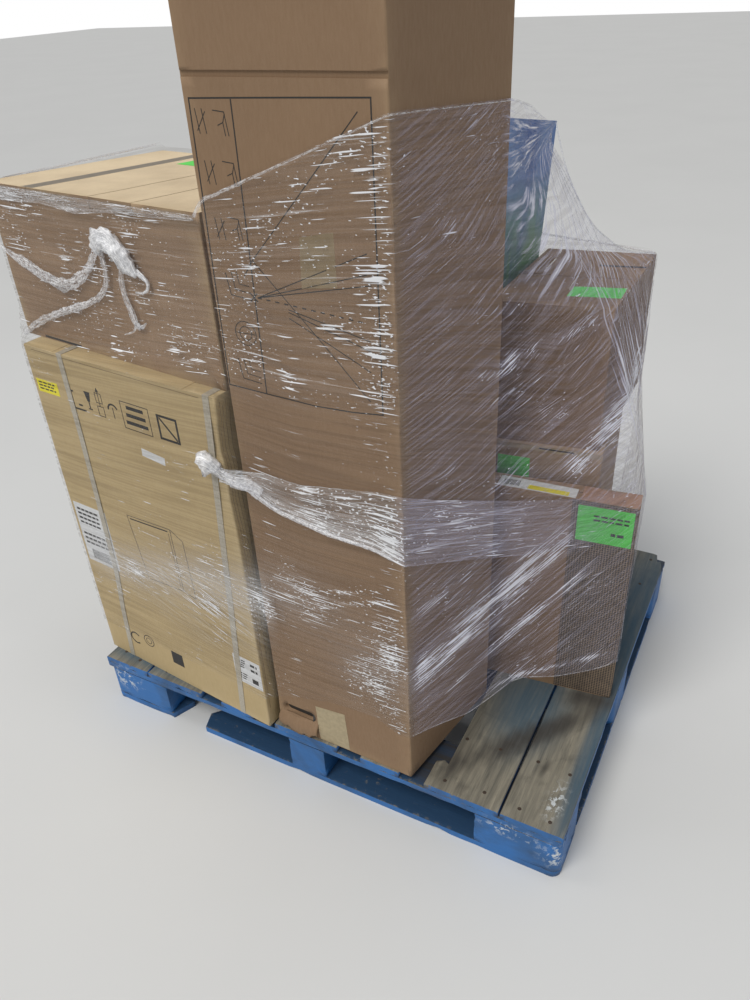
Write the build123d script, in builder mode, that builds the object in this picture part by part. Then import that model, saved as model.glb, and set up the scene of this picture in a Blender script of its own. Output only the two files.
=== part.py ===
"""A block pallet carrying seven cartons under one skin of stretch film.

Millimetres. The origin is on the floor under the middle of the pallet: +X runs to the right along the
pallet's long front edge, +Y runs to the back and +Z is up.
"""

import os
from math import cos, radians, sin, tan

from build123d import *

os.makedirs("parts", exist_ok=True)

# Pallet
pallet_length = 1219.0
pallet_width = 1016.0
deck_thick = 17.0
stringer_thick = 17.0
block_height = 90.0
base_thick = 17.0
lead_board_width = 134.5
wide_board_width = 168.0
narrow_board_width = 95.0
lead_board_gap = 5.0
stringer_width = 140.0
base_board_width = 140.0
corner_block_length = 190.0
middle_block_length = 95.0
block_width = 141.0
block_corner_radius = 22.0
board_edge_round = 2.0

# Damage on the pallet: a strip off the second board, a gap in the front base board, a split corner
torn_strip_width = 29.0
torn_strip_front = 71.0
torn_strip_jag = 6.0
base_break_from_left = 194.5
base_break_gap = 105.0
base_break_slant = 24.0
split_corner_length = 75.0
split_corner_width = 26.0
cut_margin = 1.0

# Cartons: where each stands off its neighbour, the turn of its front, the way its sides run, its sizes
tall_right_inset = 338.5
tall_front_inset = 3.0
tall_turn = -1.6
tall_side = 79.6
tall_width = 342.0
tall_depth = 313.0
tall_height = 1867.0

heater_tall_gap = 16.1
heater_overhang = 12.0
heater_turn = -5.8
heater_width = 541.0
heater_depth = 345.0
heater_height = 849.0

flat_top_side_inset = 4.0
flat_top_front_inset = 31.0
flat_top_turn = -7.5
flat_top_side = 80.3
flat_top_width = 588.0
flat_top_depth = 443.0
flat_top_height = 310.0
flat_top_sag = 18.0
flat_top_seams = (132.0, 313.0, 427.0)

blue_side_inset = 126.4
blue_tall_gap = 11.0
blue_turn = -5.6
blue_width = 255.0
blue_depth = 280.0
blue_height = 1227.0
blue_lean = 10.5
blue_top_slope = 9.4

slim_side_offset = 270.5
slim_back_offset = 97.1
slim_turn = 6.0
slim_width = 350.0
slim_depth = 55.0
slim_height = 539.0

lower_side_inset = 315.9
lower_slim_gap = 18.3
lower_turn = 5.9
lower_width = 225.0
lower_depth = 375.0
lower_height = 609.0

upper_overhang = 25.1
upper_front_inset = 4.6
upper_turn = 7.6
upper_side = 89.9
upper_width = 238.0
upper_depth = 368.0
upper_height = 305.0

board_radius = 4.0
flap_gap = 2.5
flap_gap_depth = 4.0

# Crease across the tall carton's front, and the hand hole low down on it
crease_above_deck = 1356.0
crease_depth = 3.0
crease_height = 9.0
hand_hole_width = 88.0
hand_hole_height = 26.0
hand_hole_depth = 12.0
hand_hole_from_left = 58.0
hand_hole_above_deck = 62.0

# Two plastic straps round the heater carton
strap_width = 16.0
strap_thick = 0.7
strap_from_left = (92.0, 462.0)

# Stretch film
film_thick = 1.2
film_clear = 1.0
film_foot_above_deck = 70.0
film_rise_left = 22.0
film_rise_right = 155.0
film_rise_back = 30.0
film_tuck_height = 65.0
film_web_height = 245.0
overhang_wrap = 60.0

deck_top = base_thick + block_height + stringer_thick + deck_thick
deck_under = deck_top - deck_thick
block_top = base_thick + block_height
half_length = pallet_length / 2
half_width = pallet_width / 2


def along(point, angle, distance):
    """The point that lies a distance away from another in plan, in the direction of an angle."""
    return (point[0] + distance * cos(radians(angle)), point[1] + distance * sin(radians(angle)))


def off(point, angle, across, back):
    """The point reached by going across a carton's front and then straight back from it."""
    return along(along(point, angle, across), angle + 90, back)


def plan(front_right, turn, width, depth, side=None):
    """The four corners of a carton in plan: front left, front right, back right, back left."""
    side = turn + 90 if side is None else side
    front_left = along(front_right, turn, -width)
    return [front_left, front_right, along(front_right, side, depth), along(front_left, side, depth)]


def between(start, end, share):
    """The point a share of the way from one point to another."""
    return tuple(a + share * (b - a) for a, b in zip(start, end))


def save(piece, name):
    """Label a finished piece and write it under its own name."""
    piece.part.label = name
    export_step(piece.part, f"parts/{name}.step")


tall_corner = (half_length - tall_right_inset, -half_width + tall_front_inset)
tall_plan = plan(tall_corner, tall_turn, tall_width, tall_depth, tall_side)

heater_corner = (tall_plan[0][0] - heater_tall_gap, -half_width - heater_overhang)
heater_plan = plan(heater_corner, heater_turn, heater_width, heater_depth)

flat_top_corner = (heater_corner[0] + flat_top_side_inset, heater_corner[1] + flat_top_front_inset)
flat_top_plan = plan(flat_top_corner, flat_top_turn, flat_top_width, flat_top_depth, flat_top_side)

blue_corner = off(tall_plan[2], tall_turn, -blue_side_inset, blue_tall_gap)
blue_plan = plan(blue_corner, blue_turn, blue_width, blue_depth)

slim_corner = (tall_plan[2][0] + slim_side_offset, tall_plan[2][1] + slim_back_offset)
slim_plan = plan(slim_corner, slim_turn, slim_width, slim_depth)

lower_left = off(slim_corner, slim_turn, -lower_side_inset, slim_depth + lower_slim_gap)
lower_plan = plan(along(lower_left, lower_turn, lower_width), lower_turn, lower_width, lower_depth)

upper_left = (lower_left[0] - upper_overhang, lower_left[1] + upper_front_inset)
upper_corner = along(upper_left, upper_turn, upper_width)
upper_plan = plan(upper_corner, upper_turn, upper_width, upper_depth, upper_side)

heater_top = deck_top + heater_height
flat_top_top = heater_top + flat_top_height
slim_top = deck_top + slim_height
lower_top = deck_top + lower_height
upper_top = lower_top + upper_height


# Deck boards
wide_board_x = half_length - lead_board_width - lead_board_gap - wide_board_width / 2
inner_gap = (wide_board_x - wide_board_width) / 2
deck_boards = {
    "deck_board_1": (-(half_length - lead_board_width / 2), lead_board_width),
    "deck_board_2": (-wide_board_x, wide_board_width),
    "deck_board_3": (-(wide_board_width / 2 + inner_gap), narrow_board_width),
    "deck_board_4": (0.0, wide_board_width),
    "deck_board_5": (wide_board_width / 2 + inner_gap, narrow_board_width),
    "deck_board_6": (wide_board_x, wide_board_width),
    "deck_board_7": (half_length - lead_board_width / 2, lead_board_width),
}
for board_name, (board_x, board_width) in deck_boards.items():
    with BuildPart() as deck_board:
        with BuildSketch(Plane.XY.offset(deck_under)):
            with Locations((board_x, 0)):
                Rectangle(board_width, pallet_width)
        extrude(amount=deck_thick)
        long_edges = deck_board.edges().filter_by(Axis.Y).group_by(Axis.Z)[-1]
        chamfer(long_edges, board_edge_round)
        if board_name == "deck_board_6":
            torn_left = board_x - board_width / 2
            torn_start = -half_width + torn_strip_front
            with BuildSketch(Plane.XY.offset(deck_under)):
                with BuildLine():
                    Polyline(
                        (torn_left - cut_margin, torn_start - torn_strip_jag),
                        (torn_left + torn_strip_width * 0.6, torn_start + torn_strip_jag * 0.7),
                        (torn_left + torn_strip_width, torn_start - torn_strip_jag * 0.3),
                        (torn_left + torn_strip_width * 0.9, 0),
                        (torn_left + torn_strip_width * 1.1, half_width + cut_margin),
                        (torn_left - cut_margin, half_width + cut_margin),
                        close=True,
                    )
                make_face()
            extrude(amount=deck_thick, mode=Mode.SUBTRACT)
        if board_name == "deck_board_7":
            with BuildSketch(Plane.XY.offset(deck_under)):
                with BuildLine():
                    Polyline(
                        (half_length - split_corner_width, half_width + cut_margin),
                        (half_length - split_corner_width * 0.7, half_width - split_corner_length * 0.45),
                        (half_length - split_corner_width * 0.35, half_width - split_corner_length * 0.4),
                        (half_length + cut_margin, half_width - split_corner_length),
                        (half_length + cut_margin, half_width + cut_margin),
                        close=True,
                    )
                make_face()
            extrude(amount=deck_thick, mode=Mode.SUBTRACT)
    save(deck_board, board_name)

# Stringer boards, across under the deck
row_y = {
    "front": -(half_width - stringer_width / 2),
    "middle": 0.0,
    "back": half_width - stringer_width / 2,
}
for row_name, y in row_y.items():
    with BuildPart() as stringer_board:
        with BuildSketch(Plane.XY.offset(block_top)):
            with Locations((0, y)):
                Rectangle(pallet_length, stringer_width)
        extrude(amount=stringer_thick)
        chamfer(stringer_board.edges().filter_by(Axis.X).group_by(Axis.Z)[0], board_edge_round)
    save(stringer_board, f"stringer_board_{row_name}")

# Nine blocks, their outer corners rounded
column_x = {
    "left": -(half_length - corner_block_length / 2),
    "centre": 0.0,
    "right": half_length - corner_block_length / 2,
}
block_row_y = {
    "front": -(half_width - block_width / 2),
    "middle": 0.0,
    "back": half_width - block_width / 2,
}
for row_name, y in block_row_y.items():
    for column_name, x in column_x.items():
        block_length = middle_block_length if column_name == "centre" else corner_block_length
        with BuildPart() as block:
            with BuildSketch(Plane.XY.offset(base_thick)):
                with Locations((x, y)):
                    Rectangle(block_length, block_width)
            extrude(amount=block_height)
            upright = block.edges().filter_by(Axis.Z)
            if column_name != "centre":
                outside = upright.sort_by(Axis.X)[:2] if column_name == "left" else upright.sort_by(Axis.X)[-2:]
                fillet(outside, block_corner_radius)
        save(block, f"block_{row_name}_{column_name}")

# Base boards: three across, the front one broken through, and two along the sides between them
base_break_left = -half_length + base_break_from_left
base_break_right = base_break_left + base_break_gap
with BuildPart() as base_board_front_stub:
    with BuildSketch():
        with BuildLine():
            Polyline(
                (-half_length, -half_width),
                (base_break_left, -half_width),
                (base_break_left + base_break_slant, -half_width + base_board_width * 0.4),
                (base_break_left - base_break_slant * 0.5, -half_width + base_board_width * 0.7),
                (base_break_left, -half_width + base_board_width),
                (-half_length, -half_width + base_board_width),
                close=True,
            )
        make_face()
    extrude(amount=base_thick)
    fillet(base_board_front_stub.edges().filter_by(Axis.Z).sort_by(Axis.X)[:2], block_corner_radius)
save(base_board_front_stub, "base_board_front_stub")

with BuildPart() as base_board_front:
    with BuildSketch():
        with BuildLine():
            Polyline(
                (half_length, -half_width),
                (base_break_right, -half_width),
                (base_break_right - base_break_slant * 0.6, -half_width + base_board_width * 0.3),
                (base_break_right + base_break_slant, -half_width + base_board_width * 0.6),
                (base_break_right - base_break_slant, -half_width + base_board_width),
                (half_length, -half_width + base_board_width),
                close=True,
            )
        make_face()
    extrude(amount=base_thick)
    fillet(base_board_front.edges().filter_by(Axis.Z).sort_by(Axis.X)[-2:], block_corner_radius)
save(base_board_front, "base_board_front")

base_row_y = {"middle": 0.0, "back": half_width - base_board_width / 2}
for row_name, y in base_row_y.items():
    with BuildPart() as base_board:
        with BuildSketch():
            with Locations((0, y)):
                Rectangle(pallet_length, base_board_width)
        extrude(amount=base_thick)
        if row_name == "back":
            fillet(base_board.edges().filter_by(Axis.Z), block_corner_radius)
    save(base_board, f"base_board_{row_name}")

side_board_length = half_width - base_board_width * 1.5
for side_name, side_sign in {"left": -1, "right": 1}.items():
    for half_name, half_sign in {"front": -1, "back": 1}.items():
        with BuildPart() as side_board:
            with BuildSketch():
                with Locations(
                    (
                        side_sign * (half_length - base_board_width / 2),
                        half_sign * (base_board_width + side_board_length) / 2,
                    )
                ):
                    Rectangle(base_board_width, side_board_length)
            extrude(amount=base_thick)
        save(side_board, f"base_board_{side_name}_{half_name}")

# Heater carton: straps press a groove into its top and bottom, and its flaps meet along the front
strap_frames = [
    Plane(
        origin=(*along(heater_plan[0], heater_turn, start), deck_top),
        x_dir=(cos(radians(heater_turn)), sin(radians(heater_turn)), 0),
        z_dir=(0, 0, 1),
    )
    for start in strap_from_left
]
heater_frame = Plane(
    origin=(*heater_plan[0], deck_top),
    x_dir=(cos(radians(heater_turn)), sin(radians(heater_turn)), 0),
    z_dir=(0, 0, 1),
)
with BuildPart() as heater_carton:
    with BuildSketch(heater_frame):
        Rectangle(heater_width, heater_depth, align=(Align.MIN, Align.MIN))
    extrude(amount=heater_height)
    fillet(heater_carton.edges().filter_by(Axis.Z), board_radius)
    with BuildSketch(heater_frame.offset(heater_height)):
        with Locations((heater_width / 2, heater_depth / 2)):
            Rectangle(heater_width, flap_gap)
    extrude(amount=-flap_gap_depth, mode=Mode.SUBTRACT)
    for strap_frame in strap_frames:
        with BuildSketch(strap_frame, strap_frame.offset(heater_height - strap_thick)):
            Rectangle(strap_width, heater_depth, align=(Align.MIN, Align.MIN))
        extrude(amount=strap_thick, mode=Mode.SUBTRACT)
save(heater_carton, "carton_heater")

for strap_name, strap_frame in zip(("strap_left", "strap_right"), strap_frames):
    strap_side = Plane(origin=strap_frame.origin, x_dir=strap_frame.y_dir, z_dir=strap_frame.x_dir)
    with BuildPart() as strap:
        with BuildSketch(strap_side):
            with Locations((heater_depth / 2, heater_height / 2)):
                Rectangle(heater_depth + 2 * strap_thick, heater_height)
                Rectangle(heater_depth, heater_height - 2 * strap_thick, mode=Mode.SUBTRACT)
        extrude(amount=strap_width)
    save(strap, strap_name)

# Flat-topped carton on the heater carton: its top sags to the back and three seams run to the back
flat_top_front = Vector(cos(radians(flat_top_turn)), sin(radians(flat_top_turn)), 0)
flat_top_back = Vector(cos(radians(flat_top_side)), sin(radians(flat_top_side)), -flat_top_sag / flat_top_depth)
flat_top_lid = Plane(
    origin=(*flat_top_plan[0], flat_top_top),
    x_dir=flat_top_front,
    z_dir=flat_top_front.cross(flat_top_back),
)
with BuildPart() as flat_top_carton:
    with BuildSketch(Plane.XY.offset(heater_top)):
        with BuildLine():
            Polyline(*flat_top_plan, close=True)
        make_face()
    extrude(amount=flat_top_height)
    fillet(flat_top_carton.edges().filter_by(Axis.Z), board_radius)
    split(bisect_by=flat_top_lid, keep=Keep.BOTTOM)
    for seam_start in flat_top_seams:
        seam_front = along(flat_top_plan[0], flat_top_turn, seam_start)
        with BuildSketch(Plane.XY.offset(flat_top_top)):
            with BuildLine():
                Polyline(
                    seam_front,
                    along(seam_front, flat_top_side, flat_top_depth),
                    along(along(seam_front, flat_top_side, flat_top_depth), flat_top_turn, flap_gap),
                    along(seam_front, flat_top_turn, flap_gap),
                    close=True,
                )
            make_face()
        extrude(amount=-(flat_top_sag + flap_gap_depth), mode=Mode.SUBTRACT)
save(flat_top_carton, "carton_flat_top")

# Tall carton, pushed out of square: a crease across its front, a hand hole and a top seam
tall_front = Plane(
    origin=(*tall_plan[0], deck_top),
    x_dir=(cos(radians(tall_turn)), sin(radians(tall_turn)), 0),
    z_dir=(sin(radians(tall_turn)), -cos(radians(tall_turn)), 0),
)
tall_top = deck_top + tall_height
with BuildPart() as tall_carton:
    with BuildSketch(Plane.XY.offset(deck_top)):
        with BuildLine():
            Polyline(*tall_plan, close=True)
        make_face()
    extrude(amount=tall_height)
    fillet(tall_carton.edges().filter_by(Axis.Z), board_radius)
    with BuildSketch(tall_front):
        with Locations((tall_width / 2, crease_above_deck)):
            Rectangle(tall_width, crease_height)
        with Locations((hand_hole_from_left, hand_hole_above_deck)):
            SlotOverall(hand_hole_width, hand_hole_height)
    extrude(amount=-crease_depth, mode=Mode.SUBTRACT)
    with BuildSketch(tall_front):
        with Locations((hand_hole_from_left, hand_hole_above_deck)):
            SlotOverall(hand_hole_width, hand_hole_height)
    extrude(amount=-hand_hole_depth, mode=Mode.SUBTRACT)
    with BuildSketch(Plane.XY.offset(tall_top)):
        with BuildLine():
            Polyline(
                between(tall_plan[0], tall_plan[3], 0.5),
                between(tall_plan[1], tall_plan[2], 0.5),
                along(between(tall_plan[1], tall_plan[2], 0.5), tall_side, flap_gap),
                along(between(tall_plan[0], tall_plan[3], 0.5), tall_side, flap_gap),
                close=True,
            )
        make_face()
    extrude(amount=-flap_gap_depth, mode=Mode.SUBTRACT)
save(tall_carton, "carton_tall")

# Slim carton on edge at the front right, the lower carton behind it and the upper carton on that
right_cartons = {
    "carton_slim": (slim_plan, deck_top, slim_height),
    "carton_lower": (lower_plan, deck_top, lower_height),
    "carton_upper": (upper_plan, lower_top, upper_height),
}
for carton_name, (carton_plan, carton_foot, carton_height) in right_cartons.items():
    with BuildPart() as right_carton:
        with BuildSketch(Plane.XY.offset(carton_foot)):
            with BuildLine():
                Polyline(*carton_plan, close=True)
            make_face()
        extrude(amount=carton_height)
        fillet(right_carton.edges().filter_by(Axis.Z), board_radius)
        seam_left = between(carton_plan[0], carton_plan[3], 0.5)
        seam_right = between(carton_plan[1], carton_plan[2], 0.5)
        seam_back = [end - start for start, end in zip(carton_plan[1], carton_plan[2])]
        seam_share = flap_gap / Vector(*seam_back).length
        with BuildSketch(Plane.XY.offset(carton_foot + carton_height)):
            with BuildLine():
                Polyline(
                    seam_left,
                    seam_right,
                    between(carton_plan[1], carton_plan[2], 0.5 + seam_share),
                    between(carton_plan[0], carton_plan[3], 0.5 + seam_share),
                    close=True,
                )
            make_face()
        extrude(amount=-flap_gap_depth, mode=Mode.SUBTRACT)
    save(right_carton, carton_name)


def blue_at(point, height):
    """Where a corner of the leaning blue carton's foot has moved to at a height above the floor."""
    return along(point, blue_turn + 90, (height - deck_top) * tan(radians(blue_lean)))


# Blue carton, leaning to the back, its top sloping with it
blue_top = deck_top + blue_height
blue_front = Vector(cos(radians(blue_turn)), sin(radians(blue_turn)), 0)
blue_back = Vector(-sin(radians(blue_turn)), cos(radians(blue_turn)), -tan(radians(blue_top_slope)))
blue_lid = Plane(
    origin=(*blue_at(blue_plan[1], blue_top), blue_top),
    x_dir=blue_front,
    z_dir=blue_front.cross(blue_back),
)
with BuildPart() as blue_carton:
    for section_height in (deck_top, blue_top):
        with BuildSketch(Plane.XY.offset(section_height)):
            with BuildLine():
                Polyline(*[blue_at(point, section_height) for point in blue_plan], close=True)
            make_face()
    loft(ruled=True)
    split(bisect_by=blue_lid, keep=Keep.BOTTOM)
save(blue_carton, "carton_blue")


# Stretch film: one skin drawn tight round the load, each ring of it the hull of what it goes round
def spread_ring(points, distance):
    """Move each corner of a convex ring outwards so that every side moves by the distance."""
    moved = []
    for index, point in enumerate(points):
        before = Vector(*point) - Vector(*points[index - 1])
        after = Vector(*points[(index + 1) % len(points)]) - Vector(*point)
        out_before = Vector(before.Y, -before.X, 0).normalized()
        out_after = Vector(after.Y, -after.X, 0).normalized()
        corner = out_before + out_after
        reach = 2 * distance / corner.length
        moved.append(Vector(*point) + corner.normalized() * reach)
    return [(corner.X, corner.Y) for corner in moved]


film_foot = deck_top + film_foot_above_deck
overhang_foot = heater_top - overhang_wrap
tuck_top = heater_top + film_tuck_height
web_top = upper_top + film_web_height
film_top = flat_top_top + film_rise_right
heater_left = between(heater_plan[0], heater_plan[3], 0.15)
flat_top_across = between(flat_top_plan[0], tall_plan[0], 0.08)
upper_middle = between(upper_plan[1], upper_plan[2], 0.5)
low_back_left = between(lower_plan[3], heater_plan[3], 0.3)


def beside_blue(height):
    """The film halfway from the tall carton to the blue one, the blue one's back right, and just past it."""
    right, left = blue_at(blue_plan[2], height), blue_at(blue_plan[3], height)
    return between(tall_plan[2], right, 0.5), right, between(right, left, 0.1)


# The way up of each of the film's ten corners: the heights where it turns, and its place there
web_foot, blue_foot, behind_foot = beside_blue(web_top)
web_head, blue_head, behind_head = beside_blue(film_top)
film_corners = [
    [
        (film_foot, heater_left),
        (overhang_foot, heater_left),
        (heater_top, flat_top_plan[0]),
        (film_top, flat_top_plan[0]),
    ],
    [
        (film_foot, heater_plan[0]),
        (heater_top, heater_plan[0]),
        (tuck_top, flat_top_across),
        (film_top, flat_top_across),
    ],
    [
        (film_foot, heater_plan[1]),
        (heater_top, heater_plan[1]),
        (tuck_top, tall_plan[0]),
        (film_top, tall_plan[0]),
    ],
    [(film_foot, tall_plan[1]), (film_top, tall_plan[1])],
    [
        (film_foot, slim_plan[1]),
        (slim_top, slim_plan[1]),
        (upper_top, upper_plan[1]),
        (web_top, tall_plan[2]),
        (film_top, tall_plan[2]),
    ],
    [
        (film_foot, slim_plan[2]),
        (slim_top, slim_plan[2]),
        (upper_top, upper_middle),
        (web_top, web_foot),
        (film_top, web_head),
    ],
    [
        (film_foot, lower_plan[2]),
        (slim_top, upper_plan[2]),
        (upper_top, upper_plan[2]),
        (web_top, blue_foot),
        (film_top, blue_head),
    ],
    [
        (film_foot, lower_plan[3]),
        (upper_top, lower_plan[3]),
        (web_top, behind_foot),
        (film_top, behind_head),
    ],
    [
        (film_foot, low_back_left),
        (slim_top, blue_at(blue_plan[3], slim_top)),
        (film_top, blue_at(blue_plan[3], film_top)),
    ],
    [
        (film_foot, heater_plan[3]),
        (overhang_foot, heater_plan[3]),
        (heater_top, flat_top_plan[3]),
        (film_top, flat_top_plan[3]),
    ],
]


def corner_at(stops, height):
    """Where one of the film's corners is at a height, straight from one stop of its way up to the next."""
    low, high = stops[:2]
    for following in stops[2:]:
        if height > high[0]:
            low, high = high, following
    return between(low[1], high[1], (height - low[0]) / (high[0] - low[0]))


film_heights = {height for stops in film_corners for height, place in stops}
film_heights.add((upper_top + web_top) / 2)
film_rings = [
    (height, [corner_at(stops, height) for stops in film_corners])
    for height in sorted(film_heights)
    if height <= film_top
]

blue_back_right = blue_at(blue_plan[2], flat_top_top)


def skin(rings, distance):
    """A closed solid with flat triangles from each ring to the next, folded outwards as tight film is."""
    loops = [[Vector(x, y, height) for x, y in spread_ring(ring, distance)] for height, ring in rings]
    middle = sum(loops[0], Vector(0, 0, 0)) / len(loops[0])
    faces = [Face(Wire.make_polygon(loops[0])), Face(Wire.make_polygon(loops[-1]))]
    for low, high in zip(loops, loops[1:]):
        for index, low_start in enumerate(low):
            following = (index + 1) % len(low)
            low_end, high_start, high_end = low[following], high[index], high[following]
            rising = (low_start + high_end) / 2 - middle
            falling = (low_end + high_start) / 2 - middle
            if Vector(rising.X, rising.Y).length > Vector(falling.X, falling.Y).length:
                corners = [(low_start, low_end, high_end), (low_start, high_end, high_start)]
            else:
                corners = [(low_start, low_end, high_start), (low_end, high_end, high_start)]
            faces += [Face(Wire.make_polygon(triangle)) for triangle in corners]
    return Solid(Shell(faces))


film_slope = Plane(
    origin=(*tall_plan[0], flat_top_top + film_rise_left),
    x_dir=Vector(*tall_plan[1], film_rise_right) - Vector(*tall_plan[0], film_rise_left),
    z_dir=(Vector(*tall_plan[1], film_rise_right) - Vector(*tall_plan[0], film_rise_left)).cross(
        Vector(*blue_back_right, film_rise_back) - Vector(*tall_plan[0], film_rise_left)
    ),
)
far = 3 * pallet_length
diagonal = Vector(*blue_back_right) - Vector(*tall_plan[0])
diagonal_start = Vector(*tall_plan[0]) - diagonal.normalized() * far
diagonal_end = Vector(*tall_plan[0]) + diagonal.normalized() * far
across = Vector(diagonal.Y, -diagonal.X, 0).normalized() * far
with BuildPart() as film_cutter_left:
    with BuildSketch(Plane.XY.offset(flat_top_top)):
        with BuildLine():
            Polyline(diagonal_start, diagonal_end, diagonal_end - across, diagonal_start - across, close=True)
        make_face()
    extrude(amount=2 * film_rise_right)
with BuildPart() as film_cutter_right:
    with BuildSketch(Plane.XY.offset(flat_top_top - film_rise_right)):
        with BuildLine():
            Polyline(diagonal_start, diagonal_end, diagonal_end + across, diagonal_start + across, close=True)
        make_face()
    extrude(amount=3 * film_rise_right)
    split(bisect_by=film_slope, keep=Keep.TOP)

with BuildPart() as stretch_film:
    add(skin(film_rings, film_clear + film_thick))
    add(skin(film_rings, film_clear), mode=Mode.SUBTRACT)
    add(film_cutter_left.part, mode=Mode.SUBTRACT)
    add(film_cutter_right.part, mode=Mode.SUBTRACT)
save(stretch_film, "stretch_film")
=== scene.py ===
"""The looks of a stretch wrapped pallet load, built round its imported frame. Metres."""

from math import atan2, cos, degrees, floor, pi, radians, sin

import bmesh
import bpy
import numpy as np
from mathutils import Matrix, Vector, noise
from mathutils.bvhtree import BVHTree


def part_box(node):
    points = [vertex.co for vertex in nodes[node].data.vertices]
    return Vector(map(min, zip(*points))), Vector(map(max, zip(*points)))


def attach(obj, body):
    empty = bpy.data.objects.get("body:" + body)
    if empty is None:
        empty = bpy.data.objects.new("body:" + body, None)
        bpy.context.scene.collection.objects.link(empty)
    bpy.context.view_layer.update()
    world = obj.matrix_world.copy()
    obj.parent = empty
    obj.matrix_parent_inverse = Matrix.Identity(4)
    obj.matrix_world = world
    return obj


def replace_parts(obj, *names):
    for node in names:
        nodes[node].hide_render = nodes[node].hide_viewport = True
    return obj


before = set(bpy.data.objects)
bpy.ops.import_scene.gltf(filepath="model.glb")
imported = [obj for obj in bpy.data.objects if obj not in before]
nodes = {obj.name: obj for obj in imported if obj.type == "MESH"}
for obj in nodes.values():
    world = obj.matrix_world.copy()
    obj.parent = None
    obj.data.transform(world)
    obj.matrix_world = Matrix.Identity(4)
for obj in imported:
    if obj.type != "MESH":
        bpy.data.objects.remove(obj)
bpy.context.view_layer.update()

# The camera stands where the photographer stood. Its focal length is a share of the picture's height
CAMERA_PLACE = Vector((0.789, -1.515, 1.607))
CAMERA_FORWARD = Vector((-0.411, 0.7285, -0.5481))
CAMERA_RIGHT = Vector((0.8845, 0.4642, -0.0463))
FOCAL_SHARE = 0.8071
SENSOR = 36.0


def show(thing):
    """Put an object in the scene."""
    bpy.context.scene.collection.objects.link(thing)


def make_camera():
    """A camera at the photograph's place, aim and roll."""
    forward = CAMERA_FORWARD.normalized()
    right = (CAMERA_RIGHT - CAMERA_RIGHT.dot(forward) * forward).normalized()
    up = right.cross(forward)
    data = bpy.data.cameras.new("camera")
    data.sensor_fit = "VERTICAL"
    data.sensor_height = SENSOR
    data.lens = SENSOR * FOCAL_SHARE
    camera = bpy.data.objects.new("camera", data)
    turn = Matrix((right, up, -forward)).transposed()
    camera.matrix_world = Matrix.Translation(CAMERA_PLACE) @ turn.to_4x4()
    show(camera)
    bpy.context.scene.camera = camera


make_camera()


# Nodes
def feed(tree, socket, value):
    """Give a socket a link or a plain value."""
    if isinstance(value, bpy.types.NodeSocket):
        tree.links.new(value, socket)
    elif isinstance(value, tuple) and len(value) == 3 and len(socket.default_value) == 4:
        socket.default_value = (*value, 1)
    else:
        socket.default_value = value


def add_node(tree, kind, inputs=None, output=0, **settings):
    """Add a node with its inputs set, and return one of its outputs."""
    made = tree.nodes.new(kind)
    for name, value in settings.items():
        setattr(made, name, value)
    for name, value in (inputs or {}).items():
        feed(tree, made.inputs[name], value)
    return made.outputs[output]


class Look:
    """One procedural material while its nodes are laid out."""

    def __init__(self, name):
        self.material = bpy.data.materials.new(name)
        self.material.use_nodes = True
        self.tree = self.material.node_tree
        self.shader = self.tree.nodes["Principled BSDF"]
        self.place = self.node("ShaderNodeTexCoord", output="Object")

    def node(self, kind, inputs=None, output=0, **settings):
        """Add a node to the material, and return one of its outputs."""
        return add_node(self.tree, kind, inputs, output, **settings)

    def coords(self, layer):
        """A UV layer in metres."""
        return self.node("ShaderNodeUVMap", uv_map=layer)

    def attribute(self, name, output="Fac"):
        """A value painted on the mesh."""
        return self.node("ShaderNodeAttribute", output=output, attribute_name=name)

    def stretched(self, place, scale, turn=(0, 0, 0)):
        """Coordinates scaled and turned for a pattern."""
        return self.node("ShaderNodeMapping", {"Vector": place, "Scale": scale, "Rotation": turn})

    def noise(self, place, scale, detail=3.0, rough=0.5, distortion=0.0):
        """Cloudy noise in space."""
        return self.any_noise("3D", place, scale, detail, rough, distortion)

    def flat_noise(self, place, scale, detail=2.0, rough=0.5, distortion=0.0):
        """Cloudy noise over a surface that is laid out flat."""
        return self.any_noise("2D", place, scale, detail, rough, distortion)

    def any_noise(self, dimensions, place, scale, detail, rough, distortion):
        """Cloudy noise in two or three dimensions."""
        inputs = {"Vector": place, "Scale": scale, "Detail": detail, "Roughness": rough}
        inputs["Distortion"] = distortion
        return self.node("ShaderNodeTexNoise", inputs, noise_dimensions=dimensions)

    def ramp(self, value, low, high, first=0.0, last=1.0):
        """A value spread from one range to another, and held at the ends."""
        inputs = {"Value": value, "From Min": low, "From Max": high, "To Min": first, "To Max": last}
        return self.node("ShaderNodeMapRange", inputs, clamp=True)

    def maths(self, operation, first, second=0.0):
        """A step of arithmetic on two values."""
        return self.node("ShaderNodeMath", {0: first, 1: second}, operation=operation)

    def mix(self, share, first, second, blend="MIX"):
        """One colour over another."""
        inputs = {0: share, 6: first, 7: second}
        return self.node("ShaderNodeMix", inputs, 2, data_type="RGBA", blend_type=blend)

    def bump(self, height, strength, distance=0.001):
        """Fine relief for the surface."""
        inputs = {"Height": height, "Strength": strength, "Distance": distance}
        return self.node("ShaderNodeBump", inputs)

    def finish(self, **values):
        """Set the surface's own sockets, by names with underscores for spaces."""
        for name, value in values.items():
            feed(self.tree, self.shader.inputs[name.replace("_", " ")], value)
        return self.material

    def over_clear(self, cover, shade):
        """Show the finish where it covers, and clear film of a shade elsewhere."""
        clear = self.node("ShaderNodeBsdfTransparent", {"Color": shade})
        mixed = self.node("ShaderNodeMixShader", {0: cover, 1: clear, 2: self.shader.outputs[0]})
        feed(self.tree, self.tree.nodes["Material Output"].inputs["Surface"], mixed)


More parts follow.
